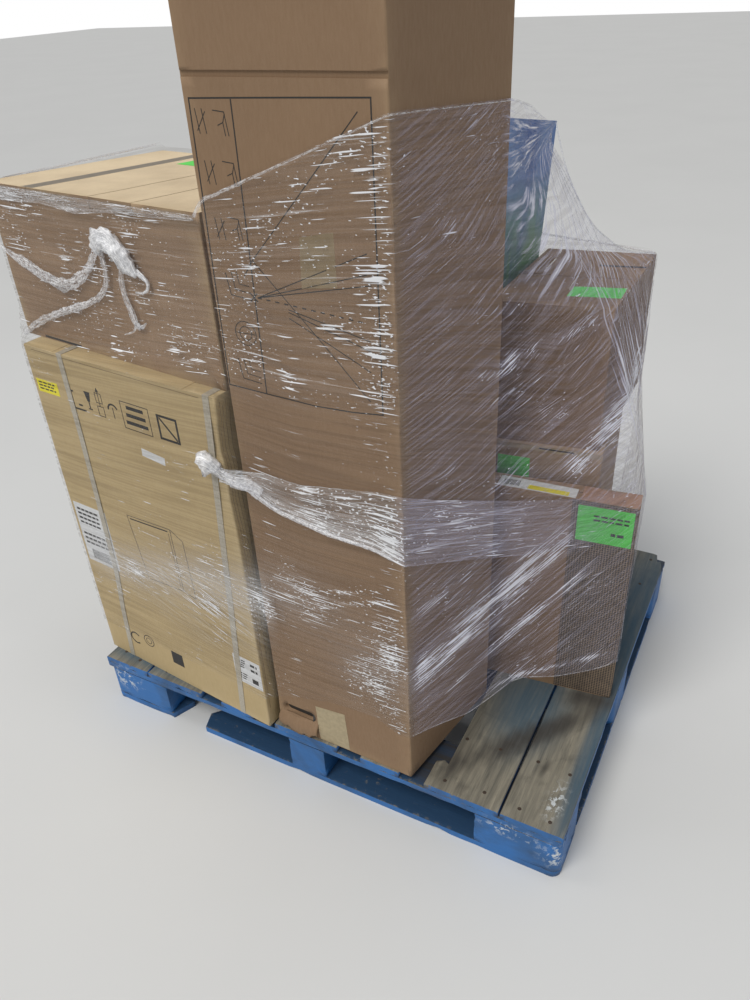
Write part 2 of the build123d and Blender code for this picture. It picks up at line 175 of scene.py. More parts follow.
# Colours, as linear values
BROWN_BOARD = (0.270, 0.172, 0.099)
PALE_BROWN_BOARD = (0.380, 0.268, 0.165)
BROWN_BOARD_DARK = (0.185, 0.112, 0.064)
FLAT_TOP_BOARD = (0.320, 0.212, 0.128)
# The flat topped carton's lid: a paler board, made paler still by painted overhead light
FLAT_TOP_LID_PALE_AND_LIT = (0.700, 0.560, 0.370)
TAN_BOARD = (0.505, 0.385, 0.205)
TAN_BOARD_DARK = (0.360, 0.262, 0.130)
BLUE_PRINT = (0.035, 0.120, 0.400)
PALE_BLUE_PRINT = (0.16, 0.30, 0.58)
GREEN_PRINT = (0.140, 0.330, 0.130)
BLUE_PAINT = (0.022, 0.150, 0.430)
# Dark blue paint for stains, and for painted shade on tops
BLUE_PAINT_STAINED_AND_SHADED = (0.020, 0.058, 0.125)
BLUE_PAINT_RUBBED = (0.06, 0.16, 0.32)
BLUE_WASH = (0.045, 0.095, 0.140)
WHITE_SCUFF = (0.62, 0.66, 0.68)
BARE_WOOD = (0.290, 0.262, 0.200)
OLD_WOOD = (0.120, 0.112, 0.090)
# Dirt in the grain and stains, and painted shade where the 'dark' mask is set
DIRT_AND_SHADE = (0.045, 0.040, 0.034)
# Near black for print, and for painted shade in slots and the hand hole
INK_AND_SHADE = (0.030, 0.027, 0.025)
FILM_WHITE = (0.86, 0.87, 0.90)
# A painted lavender sheen for the film on the load's right side
FILM_LAVENDER_SHEEN = (0.66, 0.65, 0.84)

# Patterns of the board and the wood: how many to a metre
BOARD_CLOUDS = 7.0
BOARD_FIBRES = (60.0, 14.0, 1.0)
BOARD_SPECKS = 520.0
BOARD_FLUTES = (140.0, 3.0, 1.0)
PRINT_CLOUDS = (2.0, 1.0, 1.0)
WOOD_GRAIN = 95.0
FINE_GRAIN = 330.0
WOOD_STAINS = 6.5
PAINT_PATCHES = 16.0
PAINT_CHIPS = 70.0
GREEN_FADE = (1.10, 0.95)


def board_look(name, colour, dark, wear_colour, pale_lit_lid_colour=None):
    """Corrugated board: fibre mottling, faint flutes, rubbed edges, and a lid that may be paler, with painted
    overhead light in its colour.
    """
    look = Look(name)
    face = look.coords("board")
    cloud = look.flat_noise(face, BOARD_CLOUDS, 3.0, 0.6)
    fibre = look.flat_noise(look.stretched(face, BOARD_FIBRES), 3.0, 4.0, 0.7)
    specks = look.flat_noise(face, BOARD_SPECKS, 1.0)
    if pale_lit_lid_colour is not None:
        # Painted light: top faces take the lid colour, which holds overhead light as well as the lid's own
        # tone
        colour = look.mix(look.attribute("lid"), colour, pale_lit_lid_colour)
    colour = look.mix(look.ramp(cloud, 0.30, 0.80, 0.0, 0.26), colour, dark)
    plain = look.maths("SUBTRACT", 1.0, look.maths("MULTIPLY", look.attribute("lid"), 0.8))
    colour = look.mix(look.maths("MULTIPLY", look.ramp(fibre, 0.30, 0.75, 0.0, 0.20), plain), colour, dark)
    colour = look.mix(look.ramp(specks, 0.63, 0.82, 0.0, 0.25), colour, dark)
    rub = look.maths("MULTIPLY", look.attribute("edge"), look.ramp(cloud, 0.38, 0.62))
    colour = look.mix(look.maths("MULTIPLY", rub, 0.55), colour, wear_colour)
    waves = {"Vector": look.stretched(face, BOARD_FLUTES), "Scale": 1.0, "Distortion": 0.6}
    flutes = look.node("ShaderNodeTexWave", waves, output="Fac")
    height = look.maths("ADD", look.maths("MULTIPLY", flutes, 0.25), fibre)
    rough = look.ramp(fibre, 0.3, 0.7, 0.72, 0.9)
    return look.finish(Base_Color=colour, Roughness=rough, Normal=look.bump(height, 0.35))


def printed_board_look(name):
    """Board printed blue over a green foot, with soft lighter clouds."""
    look = Look(name)
    face = look.coords("board")
    cloud = look.flat_noise(look.stretched(face, PRINT_CLOUDS), 5.0, 3.0)
    height = look.node("ShaderNodeSeparateXYZ", {"Vector": face}, output="Y")
    green = look.maths("MULTIPLY", look.ramp(height, *GREEN_FADE), look.ramp(cloud, 0.25, 0.55))
    colour = look.mix(look.ramp(cloud, 0.35, 0.7, 0.0, 0.8), BLUE_PRINT, PALE_BLUE_PRINT)
    colour = look.mix(green, colour, GREEN_PRINT)
    grain = look.flat_noise(face, 90.0)
    return look.finish(Base_Color=colour, Roughness=0.45, Normal=look.bump(grain, 0.15))


def wood_look(name, along, paint_share):
    """Weathered boards: long grain, old wood, dirt, and chipped, rubbed blue paint where the share of paint
    is high. Painted shade darkens the paint on tops, and the timber on stringer tops and the deck boards'
    inner sides.
    """
    look = Look(name)
    stretch = (1.0, 0.07, 1.0) if along == "Y" else (0.07, 1.0, 1.0)
    grain_place = look.stretched(look.place, stretch)
    grain = look.noise(grain_place, WOOD_GRAIN, 6.0, 0.65, 0.4)
    fine = look.noise(grain_place, FINE_GRAIN, 4.0, 0.7)
    stain = look.noise(look.place, WOOD_STAINS, 5.0, 0.62, 0.8)
    patch = look.noise(grain_place, PAINT_PATCHES, 6.0, 0.7, 1.2)
    chips = look.noise(look.place, PAINT_CHIPS, 5.0, 0.7, 0.5)
    wood = look.mix(look.ramp(grain, 0.32, 0.68), OLD_WOOD, BARE_WOOD)
    wood = look.mix(look.ramp(fine, 0.58, 0.72, 0.0, 0.45), wood, DIRT_AND_SHADE)
    wood = look.mix(look.ramp(stain, 0.54, 0.70, 0.0, 0.55), wood, DIRT_AND_SHADE)
    thin_paint = look.maths("MULTIPLY", look.attribute("blue"), look.ramp(patch, 0.25, 0.6, 0.45, 0.95))
    wood = look.mix(thin_paint, wood, BLUE_WASH)
    # Painted shade and stains: 'dark' holds stains and nail marks, and shade on stringer tops and the deck
    # boards' inner sides
    dark = look.maths("MULTIPLY", look.attribute("dark"), look.ramp(patch, 0.35, 0.6, 0.3, 0.9))
    wood = look.mix(dark, wood, DIRT_AND_SHADE)
    # Painted shade: every top and bottom face takes the dark paint, as shade under the deck and in the fork
    # openings
    shaded_top = look.maths("SUBTRACT", 1.0, look.attribute("side"))
    stain_and_top_shade = look.maths("MAXIMUM", look.ramp(stain, 0.45, 0.75), shaded_top)
    paint_colour = look.mix(stain_and_top_shade, BLUE_PAINT, BLUE_PAINT_STAINED_AND_SHADED)
    paint_colour = look.mix(look.ramp(fine, 0.55, 0.78, 0.0, 0.25), paint_colour, BLUE_PAINT_RUBBED)
    cover = look.maths("ADD", look.maths("MULTIPLY", patch, 0.35), look.maths("MULTIPLY", chips, 0.35))
    cover = look.maths("ADD", cover, look.maths("MULTIPLY", look.attribute("side"), 0.42))
    cover = look.maths("SUBTRACT", cover, look.maths("MULTIPLY", look.attribute("edge"), 0.07))
    cover = look.ramp(look.maths("ADD", cover, paint_share), 0.56, 0.62)
    colour = look.mix(cover, wood, paint_colour)
    colour = look.mix(dark, colour, DIRT_AND_SHADE)
    scuff = look.maths("MULTIPLY", look.attribute("white"), look.ramp(chips, 0.53, 0.57))
    colour = look.mix(scuff, colour, WHITE_SCUFF)
    height = look.maths("ADD", grain, look.maths("MULTIPLY", cover, 0.25))
    rough = look.mix(cover, (0.85, 0.85, 0.85), (0.5, 0.5, 0.5))
    return look.finish(Base_Color=colour, Roughness=rough, Normal=look.bump(height, 0.6))


def plain_look(name, colour, rough, grain_scale=60.0, variation=0.12):
    """A near-plain finish with a little cloudiness and grain."""
    look = Look(name)
    cloud = look.noise(look.place, grain_scale, 4.0, 0.6)
    darker = tuple(part * (1 - 2.5 * variation) for part in colour)
    colour = look.mix(look.ramp(cloud, 0.35, 0.7), colour, darker)
    return look.finish(Base_Color=colour, Roughness=rough, Normal=look.bump(cloud, 0.15))


# The film's streaks: how many to a metre along and across each pull
LONG_STREAKS = (3.0, 170.0, 0.0)
DASHES = (13.0, 260.0, 0.0)
CROSS_STREAKS = (7.0, 240.0, 0.0)
FINE_LINES = (2.0, 420.0, 0.0)
UPRIGHT_STREAKS = (130.0, 5.0, 0.0)
STEEP_STREAKS = (5.0, 170.0, 0.0)
SPECKS = (120.0, 300.0, 0.0)
ROPE_CRINKLES = (40.0, 480.0, 1.0)
ROPE_CRUMPLES = 170.0


PULLS = ("pull_one", "pull_two", "pull_three")
MASKS = ("haze", "glint", "cross", "cool", "upright", "steep")


def film_look(name, veil, haze_gain, crowding=0.0, line_share=0.55):
    """Clear film: a thin veil, white dashes and lines along three pulls, and bright specks. The dashes and
    specks are painted glints; the lines are partly bunched film and partly painted highlights.
    """
    look = Look(name)
    haze, glint, cross, cool, upright, steep = (look.attribute(mask) for mask in MASKS)
    one, two, three = (look.attribute(pull, "Vector") for pull in PULLS)
    face = look.coords("film")
    clump = look.ramp(look.flat_noise(face, 9.0), 0.30, 0.70, crowding - 0.10, crowding + 0.07)
    room = look.maths("ADD", clump, look.ramp(glint, 0.0, 1.6, -0.120, 0.080))
    # Painted glints: short white dashes along the first pull, more where the glint mask is high
    dash_noise = look.flat_noise(look.stretched(one, DASHES), 1.0, 1.0, 0.5, 0.15)
    dash = look.ramp(look.maths("ADD", dash_noise, room), 0.710, 0.765)
    long_noise = look.flat_noise(look.stretched(one, LONG_STREAKS), 1.0, 2.0, 0.6, 0.2)
    long_line = look.ramp(look.maths("ADD", long_noise, room), 0.680, 0.820, 0.0, line_share)
    # Painted glints: bright white specks
    speck_noise = look.flat_noise(look.stretched(face, SPECKS), 1.0, 1.0)
    spark = look.maths("MAXIMUM", glint, look.maths("MULTIPLY", cross, 0.55))
    speck_room = look.maths("ADD", clump, look.ramp(spark, 0.0, 1.6, -0.120, 0.080))
    speck = look.ramp(look.maths("ADD", speck_noise, speck_room), 0.745, 0.790)
    fine = look.flat_noise(look.stretched(one, FINE_LINES), 1.0, 1.0, 0.7)
    cross_room = look.maths("ADD", clump, look.ramp(cross, 0.0, 3.2, -0.120, 0.170))
    cross_noise = look.flat_noise(look.stretched(two, DASHES), 1.0, 1.0, 0.6, 0.15)
    cross_long = look.flat_noise(look.stretched(two, CROSS_STREAKS), 1.0, 2.0, 0.7, 0.1)
    crossed = look.maths("MAXIMUM", cross_noise, cross_long)
    crossed = look.ramp(look.maths("ADD", crossed, cross_room), 0.680, 0.760)
    crossed = look.maths("MULTIPLY", crossed, look.ramp(cross, 0.15, 1.7, 0.10, 1.0))
    fine_cross = look.ramp(cross_long, 0.48, 0.70, 0.0, 0.26)
    fine_cross = look.maths("MULTIPLY", fine_cross, look.ramp(cross, 0.1, 1.0))
    upright_noise = look.flat_noise(look.stretched(face, UPRIGHT_STREAKS), 1.0, 1.0, 0.6, 0.4)
    hanging = look.maths("MULTIPLY", look.ramp(upright_noise, 0.50, 0.72, 0.0, 0.85), upright)
    steep_noise = look.flat_noise(look.stretched(three, STEEP_STREAKS), 1.0, 2.0, 0.7, 0.2)
    slanting = look.maths("MULTIPLY", look.ramp(steep_noise, 0.50, 0.74, 0.0, 0.90), steep)
    cover = look.maths("MAXIMUM", dash, long_line)
    for layer in (speck, crossed, fine_cross, hanging, slanting):
        cover = look.maths("MAXIMUM", cover, layer)
    mist = look.ramp(haze, 0.0, 2.4, veil, veil + 2 * haze_gain)
    mist = look.maths("MULTIPLY", mist, look.ramp(fine, 0.25, 0.75, 0.4, 1.6))
    cover = look.node("ShaderNodeClamp", {"Value": look.maths("ADD", cover, mist), "Min": 0.0, "Max": 0.97})
    height = look.maths("ADD", dash_noise, look.maths("MULTIPLY", long_noise, 0.5))
    height = look.maths("ADD", height, look.maths("MULTIPLY", crossed, 0.5))
    # Painted sheen: the film's white parts turn lavender on the right side, less where they are dense
    cool = look.maths("MULTIPLY", cool, look.ramp(cover, 0.3, 0.95, 1.0, 0.35))
    tint = look.mix(cool, FILM_WHITE, FILM_LAVENDER_SHEEN)
    shade = look.mix(look.ramp(long_noise, 0.36, 0.60), (0.85, 0.84, 0.83), (1.0, 1.0, 1.0))
    look.over_clear(cover, shade)
    return look.finish(Base_Color=tint, Roughness=0.2, Normal=look.bump(height, 0.4, 0.003))


def gathered_look(name, low, high):
    """Film gathered into ropes, milky white with fine crinkles running along it."""
    look = Look(name)
    face = look.coords("film")
    folds = look.flat_noise(look.stretched(face, ROPE_CRINKLES), 1.0, 2.0, 0.6, 0.8)
    crumple = look.noise(look.place, ROPE_CRUMPLES, 3.0, 0.6, 0.6)
    both = look.maths("ADD", look.maths("MULTIPLY", folds, 0.50), look.maths("MULTIPLY", crumple, 0.50))
    cover = look.ramp(both, 0.40, 0.64, low, high)
    tint = look.mix(look.ramp(both, 0.38, 0.56), (0.82, 0.83, 0.87), (0.99, 0.99, 1.0))
    look.over_clear(cover, (0.97, 0.97, 0.98))
    return look.finish(Base_Color=tint, Roughness=0.25, Normal=look.bump(both, 0.22, 0.003))


# Meshes
def link(name, mesh, material):
    """Make an object of a mesh at the origin, riding on the load."""
    piece = bpy.data.objects.new(name, mesh)
    show(piece)
    mesh.materials.clear()
    mesh.materials.append(material)
    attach(piece, "root")
    return piece


def points_of(mesh):
    """The vertices of a mesh as an array."""
    found = np.empty(len(mesh.vertices) * 3)
    mesh.vertices.foreach_get("co", found)
    return found.reshape(-1, 3)


def paint(mesh, name, values):
    """Store one value for each vertex."""
    layer = mesh.attributes.new(name, "FLOAT", "POINT")
    layer.data.foreach_set("value", np.asarray(values, np.float32))


def lay_uv(mesh, layer_name, flat):
    """Give every corner of every face the flat place of its vertex."""
    layer = mesh.uv_layers.new(name=layer_name)
    numbers = np.empty(len(mesh.loops), int)
    mesh.loops.foreach_get("vertex_index", numbers)
    layer.data.foreach_set("uv", flat.reshape(-1, 2)[numbers].ravel())


def paint_faces(mesh, name, values):
    """Store one value for each face."""
    layer = mesh.attributes.new(name, "FLOAT", "FACE")
    layer.data.foreach_set("value", np.asarray(values, np.float32))


def line_value(line, where):
    """The value of a line of points at one or many places."""
    return np.interp(where, [point[0] for point in line], [point[1] for point in line])


def face_outwards(mesh):
    """Turn the faces of a closed mesh outwards."""
    work = bmesh.new()
    work.from_mesh(mesh)
    bmesh.ops.recalc_face_normals(work, faces=work.faces[:])
    work.to_mesh(mesh)
    work.free()


def smooth_but_sharp(mesh, angle=35):
    """Round shading with the real edges kept."""
    mesh.shade_smooth()
    mesh.set_sharp_from_angle(angle=radians(angle))


def ripple(points, size, seed):
    """Smooth noise from -1 to 1 at each point, of a given wave size."""
    moved = Vector((seed * 7.3, seed * 3.1, seed * 5.7))
    return np.array([noise.noise(Vector(point) / size + moved) for point in points])


SAME_PLACE = 0.00002
CUT_SNAP = 0.00005


def sliced_copy(node_name, directions, steps):
    """A copy of a CAD solid, cut into small cells by planes across three directions."""
    work = bmesh.new()
    work.from_mesh(nodes[node_name].data)
    bmesh.ops.remove_doubles(work, verts=work.verts, dist=SAME_PLACE)
    for direction, step in zip(directions, steps):
        places = [vertex.co.dot(direction) for vertex in work.verts]
        low, high = min(places), max(places)
        count = max(1, round((high - low) / step))
        for index in range(1, count):
            cut = low + (high - low) * index / count
            everything = work.verts[:] + work.edges[:] + work.faces[:]
            bmesh.ops.bisect_plane(
                work, geom=everything, plane_co=direction * cut, plane_no=direction, dist=CUT_SNAP
            )
    bmesh.ops.remove_doubles(work, verts=work.verts, dist=CUT_SNAP)
    mesh = bpy.data.meshes.new(node_name)
    work.to_mesh(mesh)
    work.free()
    return mesh


# Cartons
UPWARD = Vector((0, 0, 1))
RUBBED_WIDTH = 0.012
DENT_REACH = 0.03


class Carton:
    """A carton's four upright corners, read from its CAD solid, and the dents that its board has."""

    def __init__(self, node_name, dents):
        points = points_of(nodes[node_name].data)
        self.foot_z, self.head_z = points[:, 2].min(), points[:, 2].max()
        middle = (self.foot_z + self.head_z) / 2
        ways = [(-1, -1), (1, -1), (1, 1), (-1, 1)]
        self.foot = self.corners(points[points[:, 2] < middle], ways, -0.01)
        self.head = self.corners(points[points[:, 2] > middle], ways, 0.01)
        self.width = (self.foot[1] - self.foot[0]).length
        self.depth = (self.foot[3] - self.foot[0]).length
        self.height = self.head_z - self.foot_z
        self.node_name = node_name
        self.dents = dents

    @staticmethod
    def corners(points, ways, rise):
        """The outermost points in the four diagonal ways: front left, front right, back right, back left."""
        return [Vector(points[np.argmax(points @ np.array([*way, rise]))]) for way in ways]

    def at(self, share):
        """The front left corner and the two ways along the carton's sides, at a share of its height."""
        corner = self.foot[0].lerp(self.head[0], share)
        across = (self.foot[1].lerp(self.head[1], share) - corner).normalized()
        back = (self.foot[3].lerp(self.head[3], share) - corner).normalized()
        return corner.xy, across.xy, back.xy

    def ways(self):
        """The ways across and back at half the carton's height."""
        return [way.to_3d() for way in self.at(0.5)[1:]]

    def local(self, points):
        """Distances across, back and up of each point from the front left foot."""
        found = np.empty_like(points)
        for index, point in enumerate(points):
            corner, across, back = self.at((point[2] - self.foot_z) / self.height)
            off_x, off_y = point[0] - corner.x, point[1] - corner.y
            spread = across.x * back.y - across.y * back.x
            found[index] = (
                (off_x * back.y - off_y * back.x) / spread,
                (off_y * across.x - off_x * across.y) / spread,
                point[2] - self.foot_z,
            )
        return found

    def world(self, found):
        """Points from their distances across, back and up."""
        points = np.empty_like(found)
        for index, (right, deep, up) in enumerate(found):
            corner, across, back = self.at(up / self.height)
            flat = corner + across * right + back * deep
            points[index] = (flat.x, flat.y, self.foot_z + up)
        return points

    def bent(self, found):
        """The same distances with the board's dents and ripples added."""
        found = np.array(found, float)
        return found + self.dents(found, self.width, self.depth, self.height)

    def mesh(self, step):
        """The carton's dented board, with its panels laid out flat in metres."""
        across, back = self.ways()
        mesh = sliced_copy(self.node_name, (across, back, UPWARD), (step, step, step))
        found = self.local(points_of(mesh))
        size = np.array((self.width, self.depth, self.height))
        near = np.sort(np.minimum(found, size - found), axis=1)[:, 1]
        paint(mesh, "edge", np.exp(-np.abs(near) / RUBBED_WIDTH))
        mesh.vertices.foreach_set("co", self.world(self.bent(found)).ravel())
        layer = mesh.uv_layers.new(name="board")
        flat = np.empty((len(mesh.loops), 2))
        for face in mesh.polygons:
            normal = face.normal
            if abs(normal.z) > 0.7:
                picked = (0, 1)
            elif abs(normal.dot(back)) > 0.7:
                picked = (0, 2)
            else:
                picked = (1, 2)
            for loop in face.loop_indices:
                flat[loop] = found[mesh.loops[loop].vertex_index][list(picked)]
        layer.data.foreach_set("uv", flat.ravel())
        paint_faces(mesh, "lid", [face.normal.z > 0.7 for face in mesh.polygons])
        mesh.update()
        smooth_but_sharp(mesh)
        return mesh

    def place(self, side, sideways, upward, lift):
        """A place off a side, sideways from its left end seen from outside."""
        sides = {
            "front": (sideways, -lift, upward),
            "right": (self.width + lift, sideways, upward),
            "top": (sideways, upward, self.height + lift),
        }
        return Vector(self.world(np.array([sides[side]]))[0])


def hollow(share):
    """A dent that is deepest halfway and nothing at both ends."""
    return np.sin(np.pi * np.clip(share, 0, 1))


def panel_dents(depth_front, depth_right, ripple_depth, size, seed, more=None):
    """Panels that sink in a little, rippled, and any other dents of the carton's own."""

    def dents(found, width, depth, height):
        """How far each place moves across, back and up."""
        right, back, up = found.T
        waves = ripple(found, size, seed)
        on_front = np.exp(-np.abs(back) / DENT_REACH)
        on_right = np.exp(-np.abs(width - right) / DENT_REACH)
        on_top = np.exp(-np.abs(height - up) / DENT_REACH)
        soft_front = hollow(right / width) * hollow(up / height) ** 0.4
        soft_right = hollow(back / depth) * hollow(up / height) ** 0.4
        soft_top = hollow(right / width) * hollow(back / depth)
        sink_front = (depth_front + ripple_depth * waves) * soft_front
        sink_right = (depth_right + ripple_depth * waves) * soft_right
        sink_top = (0.5 * depth_front + ripple_depth * waves) * soft_top
        sunk = (-np.abs(sink_right) * on_right, np.abs(sink_front) * on_front, -np.abs(sink_top) * on_top)
        moved = np.stack(sunk, axis=1)
        if more is not None:
            moved += more(right, back, up, width, height)
        return moved

    return dents


def bump_at(value, middle, spread):
    """A soft bump that is 1 at the middle."""
    return np.exp(-(((value - middle) / spread) ** 2))


def heater_crush(right, back, up, width, height):
    """The heater carton's right front edge, crushed under the knot and again at its top."""
    near_edge = bump_at(right, width, 0.035) * bump_at(back, 0, 0.05)
    crushed = bump_at(up, height - 0.10, 0.05) + 0.6 * bump_at(up, height - 0.22, 0.05)
    folds = 1 + 0.4 * np.sin(up * 2 * pi / 0.045)
    push = 0.011 * near_edge * crushed * folds
    return np.stack([-push, 0.35 * push, np.zeros_like(push)], axis=1)


def tall_foot(right, back, up, _width, _height):
    """The tall carton's foot, its front bulged out round the hand hole."""
    on_front = np.exp(-np.abs(back) / 0.02)
    bulge = 0.006 * bump_at(right, 0.06, 0.07) * bump_at(up, 0.03, 0.035) * on_front
    return np.stack([np.zeros_like(bulge), -bulge, np.zeros_like(bulge)], axis=1)


tan_board = board_look("tan_board", TAN_BOARD, TAN_BOARD_DARK, (0.56, 0.45, 0.27))
flat_top_wear = (0.50, 0.38, 0.22)
flat_top_board = board_look("flat_top_board", FLAT_TOP_BOARD, BROWN_BOARD_DARK, flat_top_wear, FLAT_TOP_LID_PALE_AND_LIT)
printed_board = printed_board_look("printed_board")
brown_board = board_look("brown_board", BROWN_BOARD, BROWN_BOARD_DARK, (0.42, 0.29, 0.17))
pale_brown_board = board_look("pale_brown_board", PALE_BROWN_BOARD, BROWN_BOARD_DARK, (0.48, 0.36, 0.23))

# Each carton's dents: how deep on the front, on the right and in ripples, the ripples' size, and a seed
carton_dents = {
    "carton_heater": panel_dents(0.002, 0.003, 0.0012, 0.12, 1, heater_crush),
    "carton_flat_top": panel_dents(0.003, 0.003, 0.0015, 0.14, 2),
    "carton_tall": panel_dents(0.002, 0.003, 0.0015, 0.16, 3, tall_foot),
    "carton_slim": panel_dents(0.001, 0.001, 0.0008, 0.10, 4),
    "carton_lower": panel_dents(0.002, 0.002, 0.0012, 0.12, 5),
    "carton_upper": panel_dents(0.003, 0.004, 0.0020, 0.10, 6),
    "carton_blue": panel_dents(0.002, 0.002, 0.0012, 0.14, 7),
}
# The size of each carton's mesh cells, its look and its slot
carton_plans = {
    "carton_heater": (0.022, tan_board, "tan_board"),
    "carton_flat_top": (0.026, flat_top_board, "brown_board"),
    "carton_tall": (0.028, brown_board, "brown_board"),
    "carton_slim": (0.028, brown_board, "brown_board"),
    "carton_lower": (0.030, pale_brown_board, "brown_board"),
    "carton_upper": (0.024, brown_board, "brown_board"),
    "carton_blue": (0.035, printed_board, "blue_board"),
}
built = {}
built_pieces = {}
for node_name, (step, board, slot_name) in carton_plans.items():
    built[node_name] = Carton(node_name, carton_dents[node_name])
    piece = link(f"{node_name}_board", built[node_name].mesh(step), board)
    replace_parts(piece, node_name)
    built_pieces[node_name] = piece
board_trees = {
    node_name: BVHTree.FromPolygons(
        [vertex.co for vertex in piece.data.vertices], [face.vertices[:] for face in piece.data.polygons]
    )
    for node_name, piece in built_pieces.items()
}


# Prints, labels, tape and painted shade: thin closed layers that follow the dented board
PRINT_THICK = 0.0003
PRINT_CELL = 0.012
PRINT_SINK = 0.0001
PRINT_SNAP = 0.00004
PROBE_START = 0.05
PROBE_REACH = 0.12
INK_LINE = 0.0022
THIN_INK = 0.7 * INK_LINE
WORD_GAP = 0.003
BAR_GAP = 0.0014


def box_shape(left, low, right, high):
    """A rectangle by its left, lower, right and upper sides."""
    return [[(left, low), (right, low), (right, high), (left, high)]]


def stroke(points, width, closed=False):
    """A band of even width along a bent line."""
    points = [Vector(point) for point in points]
    count = len(points)
    sides = []
    for index, point in enumerate(points):
        before = points[index - 1] if index or closed else point
        after = points[(index + 1) % count] if index + 1 < count or closed else point
        way_in = (point - before).normalized() if before != point else (after - point).normalized()
        way_out = (after - point).normalized() if after != point else way_in
        across = Vector((-(way_in + way_out).y, (way_in + way_out).x)).normalized()
        mitre = width / 2 / max(0.4, across.dot(Vector((-way_in.y, way_in.x))))
        sides.append((point + across * mitre, point - across * mitre))
    followed = zip(sides, [*sides[1:], sides[0]] if closed else sides[1:])
    return [[near[1], far[1], far[0], near[0]] for near, far in followed]


def dashes(start, end, width, dash, gap):
    """A dashed line."""
    start, end = Vector(start), Vector(end)
    way = (end - start).normalized()
    count = floor((end - start).length / (dash + gap))
    shapes = []
    for index in range(count):
        first = start + way * index * (dash + gap)
        shapes += stroke([first, first + way * dash], width)
    return shapes


def circle_points(centre, radius, first=0, last=360, count=24):
    """Points round a circle or an arc."""
    turns = [radians(first + (last - first) * index / count) for index in range(count)]
    return [(centre[0] + radius * cos(turn), centre[1] + radius * sin(turn)) for turn in turns]


def text_bars(left, low, width, height, rows, seed):
    """Plain bars in rows, where a label has its lines of writing."""
    shapes = []
    for row in range(rows):
        top = low + height * (row + 0.85) / rows
        bottom = low + height * (row + 0.40) / rows
        place = left
        word = 0
        while place < left + width:
            length = 0.012 + 0.006 * noise.noise(Vector((seed * 3.7, row * 1.9, word * 2.3)))
            end = min(place + length, left + width)
            if end - place > WORD_GAP:
                shapes += box_shape(place, bottom, end, top)
            place = end + WORD_GAP
            word += 1
    return shapes


def bar_code(left, low, width, height, seed):
    """Upright bars of mixed widths."""
    shapes = []
    place = left
    index = 0
    while place < left + width:
        thickness = 0.0016 + 0.0006 * noise.noise(Vector((seed, index * 1.7, 0.3)))
        shapes += box_shape(place, low, place + thickness, low + height)
        place += thickness + BAR_GAP
        index += 1
    return shapes


def lay(name, node_name, side, shapes, material, lift=0.0, thick=PRINT_THICK, bridge=0.004):
    """Lay flat shapes on a side of a carton, over grooves narrower than the bridge.

    On upright sides the second measure is height above the floor.
    """
    carton, tree = built[node_name], board_trees[node_name]
    work = bmesh.new()
    for shape in shapes:
        work.faces.new([work.verts.new((point[0], point[1], 0)) for point in shape])
    bmesh.ops.remove_doubles(work, verts=work.verts, dist=CUT_SNAP)
    extruded = bmesh.ops.extrude_face_region(work, geom=work.faces[:], use_keep_orig=True)["geom"]
    raised = [part for part in extruded if isinstance(part, bmesh.types.BMVert)]
    bmesh.ops.translate(work, verts=raised, vec=(0, 0, thick))
    for axis in (0, 1):
        values = [vertex.co[axis] for vertex in work.verts]
        normal = Vector((1 - axis, axis, 0))
        for index in range(floor(min(values) / PRINT_CELL) + 1, floor(max(values) / PRINT_CELL) + 1):
            everything = work.verts[:] + work.edges[:] + work.faces[:]
            place = normal * index * PRINT_CELL
            bmesh.ops.bisect_plane(work, geom=everything, plane_co=place, plane_no=normal, dist=PRINT_SNAP)
    bmesh.ops.recalc_face_normals(work, faces=work.faces[:])
    mesh = bpy.data.meshes.new(name)
    work.to_mesh(mesh)
    work.free()
    flat = points_of(mesh)
    lay_uv(mesh, "board", flat[:, :2])
    placed = np.empty_like(flat)
    across, back = carton.ways()
    outward = {"front": -back, "right": across, "top": UPWARD}[side]
    floor_level = 0 if side == "top" else carton.foot_z
    for index, (sideways, upward, height) in enumerate(flat):
        start = carton.place(side, sideways, upward - floor_level, PROBE_START)
        probes = [start + move * across for move in (-bridge, 0, bridge)]
        gaps = [tree.ray_cast(probe, -outward, PROBE_REACH)[3] for probe in probes]
        gap = min((found for found in gaps if found is not None), default=PROBE_START)
        placed[index] = start + outward * (height + lift - PRINT_SINK - gap)
    mesh.vertices.foreach_set("co", placed.ravel())
    mesh.update()
    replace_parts(link(name, mesh, material), node_name)


ink_and_shade = plain_look("ink_and_shade", INK_AND_SHADE, 0.6, 300.0, 0.1)
white_paper = plain_look("white_paper", (0.72, 0.73, 0.74), 0.55, 120.0, 0.04)
yellow_paper = plain_look("yellow_paper", (0.80, 0.70, 0.02), 0.5, 120.0, 0.04)
green_paper = plain_look("green_paper", (0.110, 0.720, 0.090), 0.45, 120.0, 0.05)
masking_tape = plain_look("masking_tape", (0.440, 0.360, 0.225), 0.6, 90.0, 0.08)
lid_tape = plain_look("lid_tape", (0.230, 0.185, 0.130), 0.35, 90.0, 0.08)
pale_board = plain_look("pale_board", (0.420, 0.330, 0.205), 0.8, 70.0, 0.08)
pink_print = plain_look("pink_print", (0.400, 0.235, 0.155), 0.7, 70.0, 0.08)
# Painted shade for the heater carton's top fold line and side creases
fold_shade = plain_look("fold_shade", (0.270, 0.200, 0.105), 0.8, 90.0, 0.10)
label_ghost = plain_look("label_ghost", (0.290, 0.215, 0.120), 0.5, 60.0, 0.06)


GRID_PITCH = 0.0055
GRID_GAP = 0.74
GRID_DARK = (0.048, 0.040, 0.035)
GRID_TAN = (0.300, 0.220, 0.150)


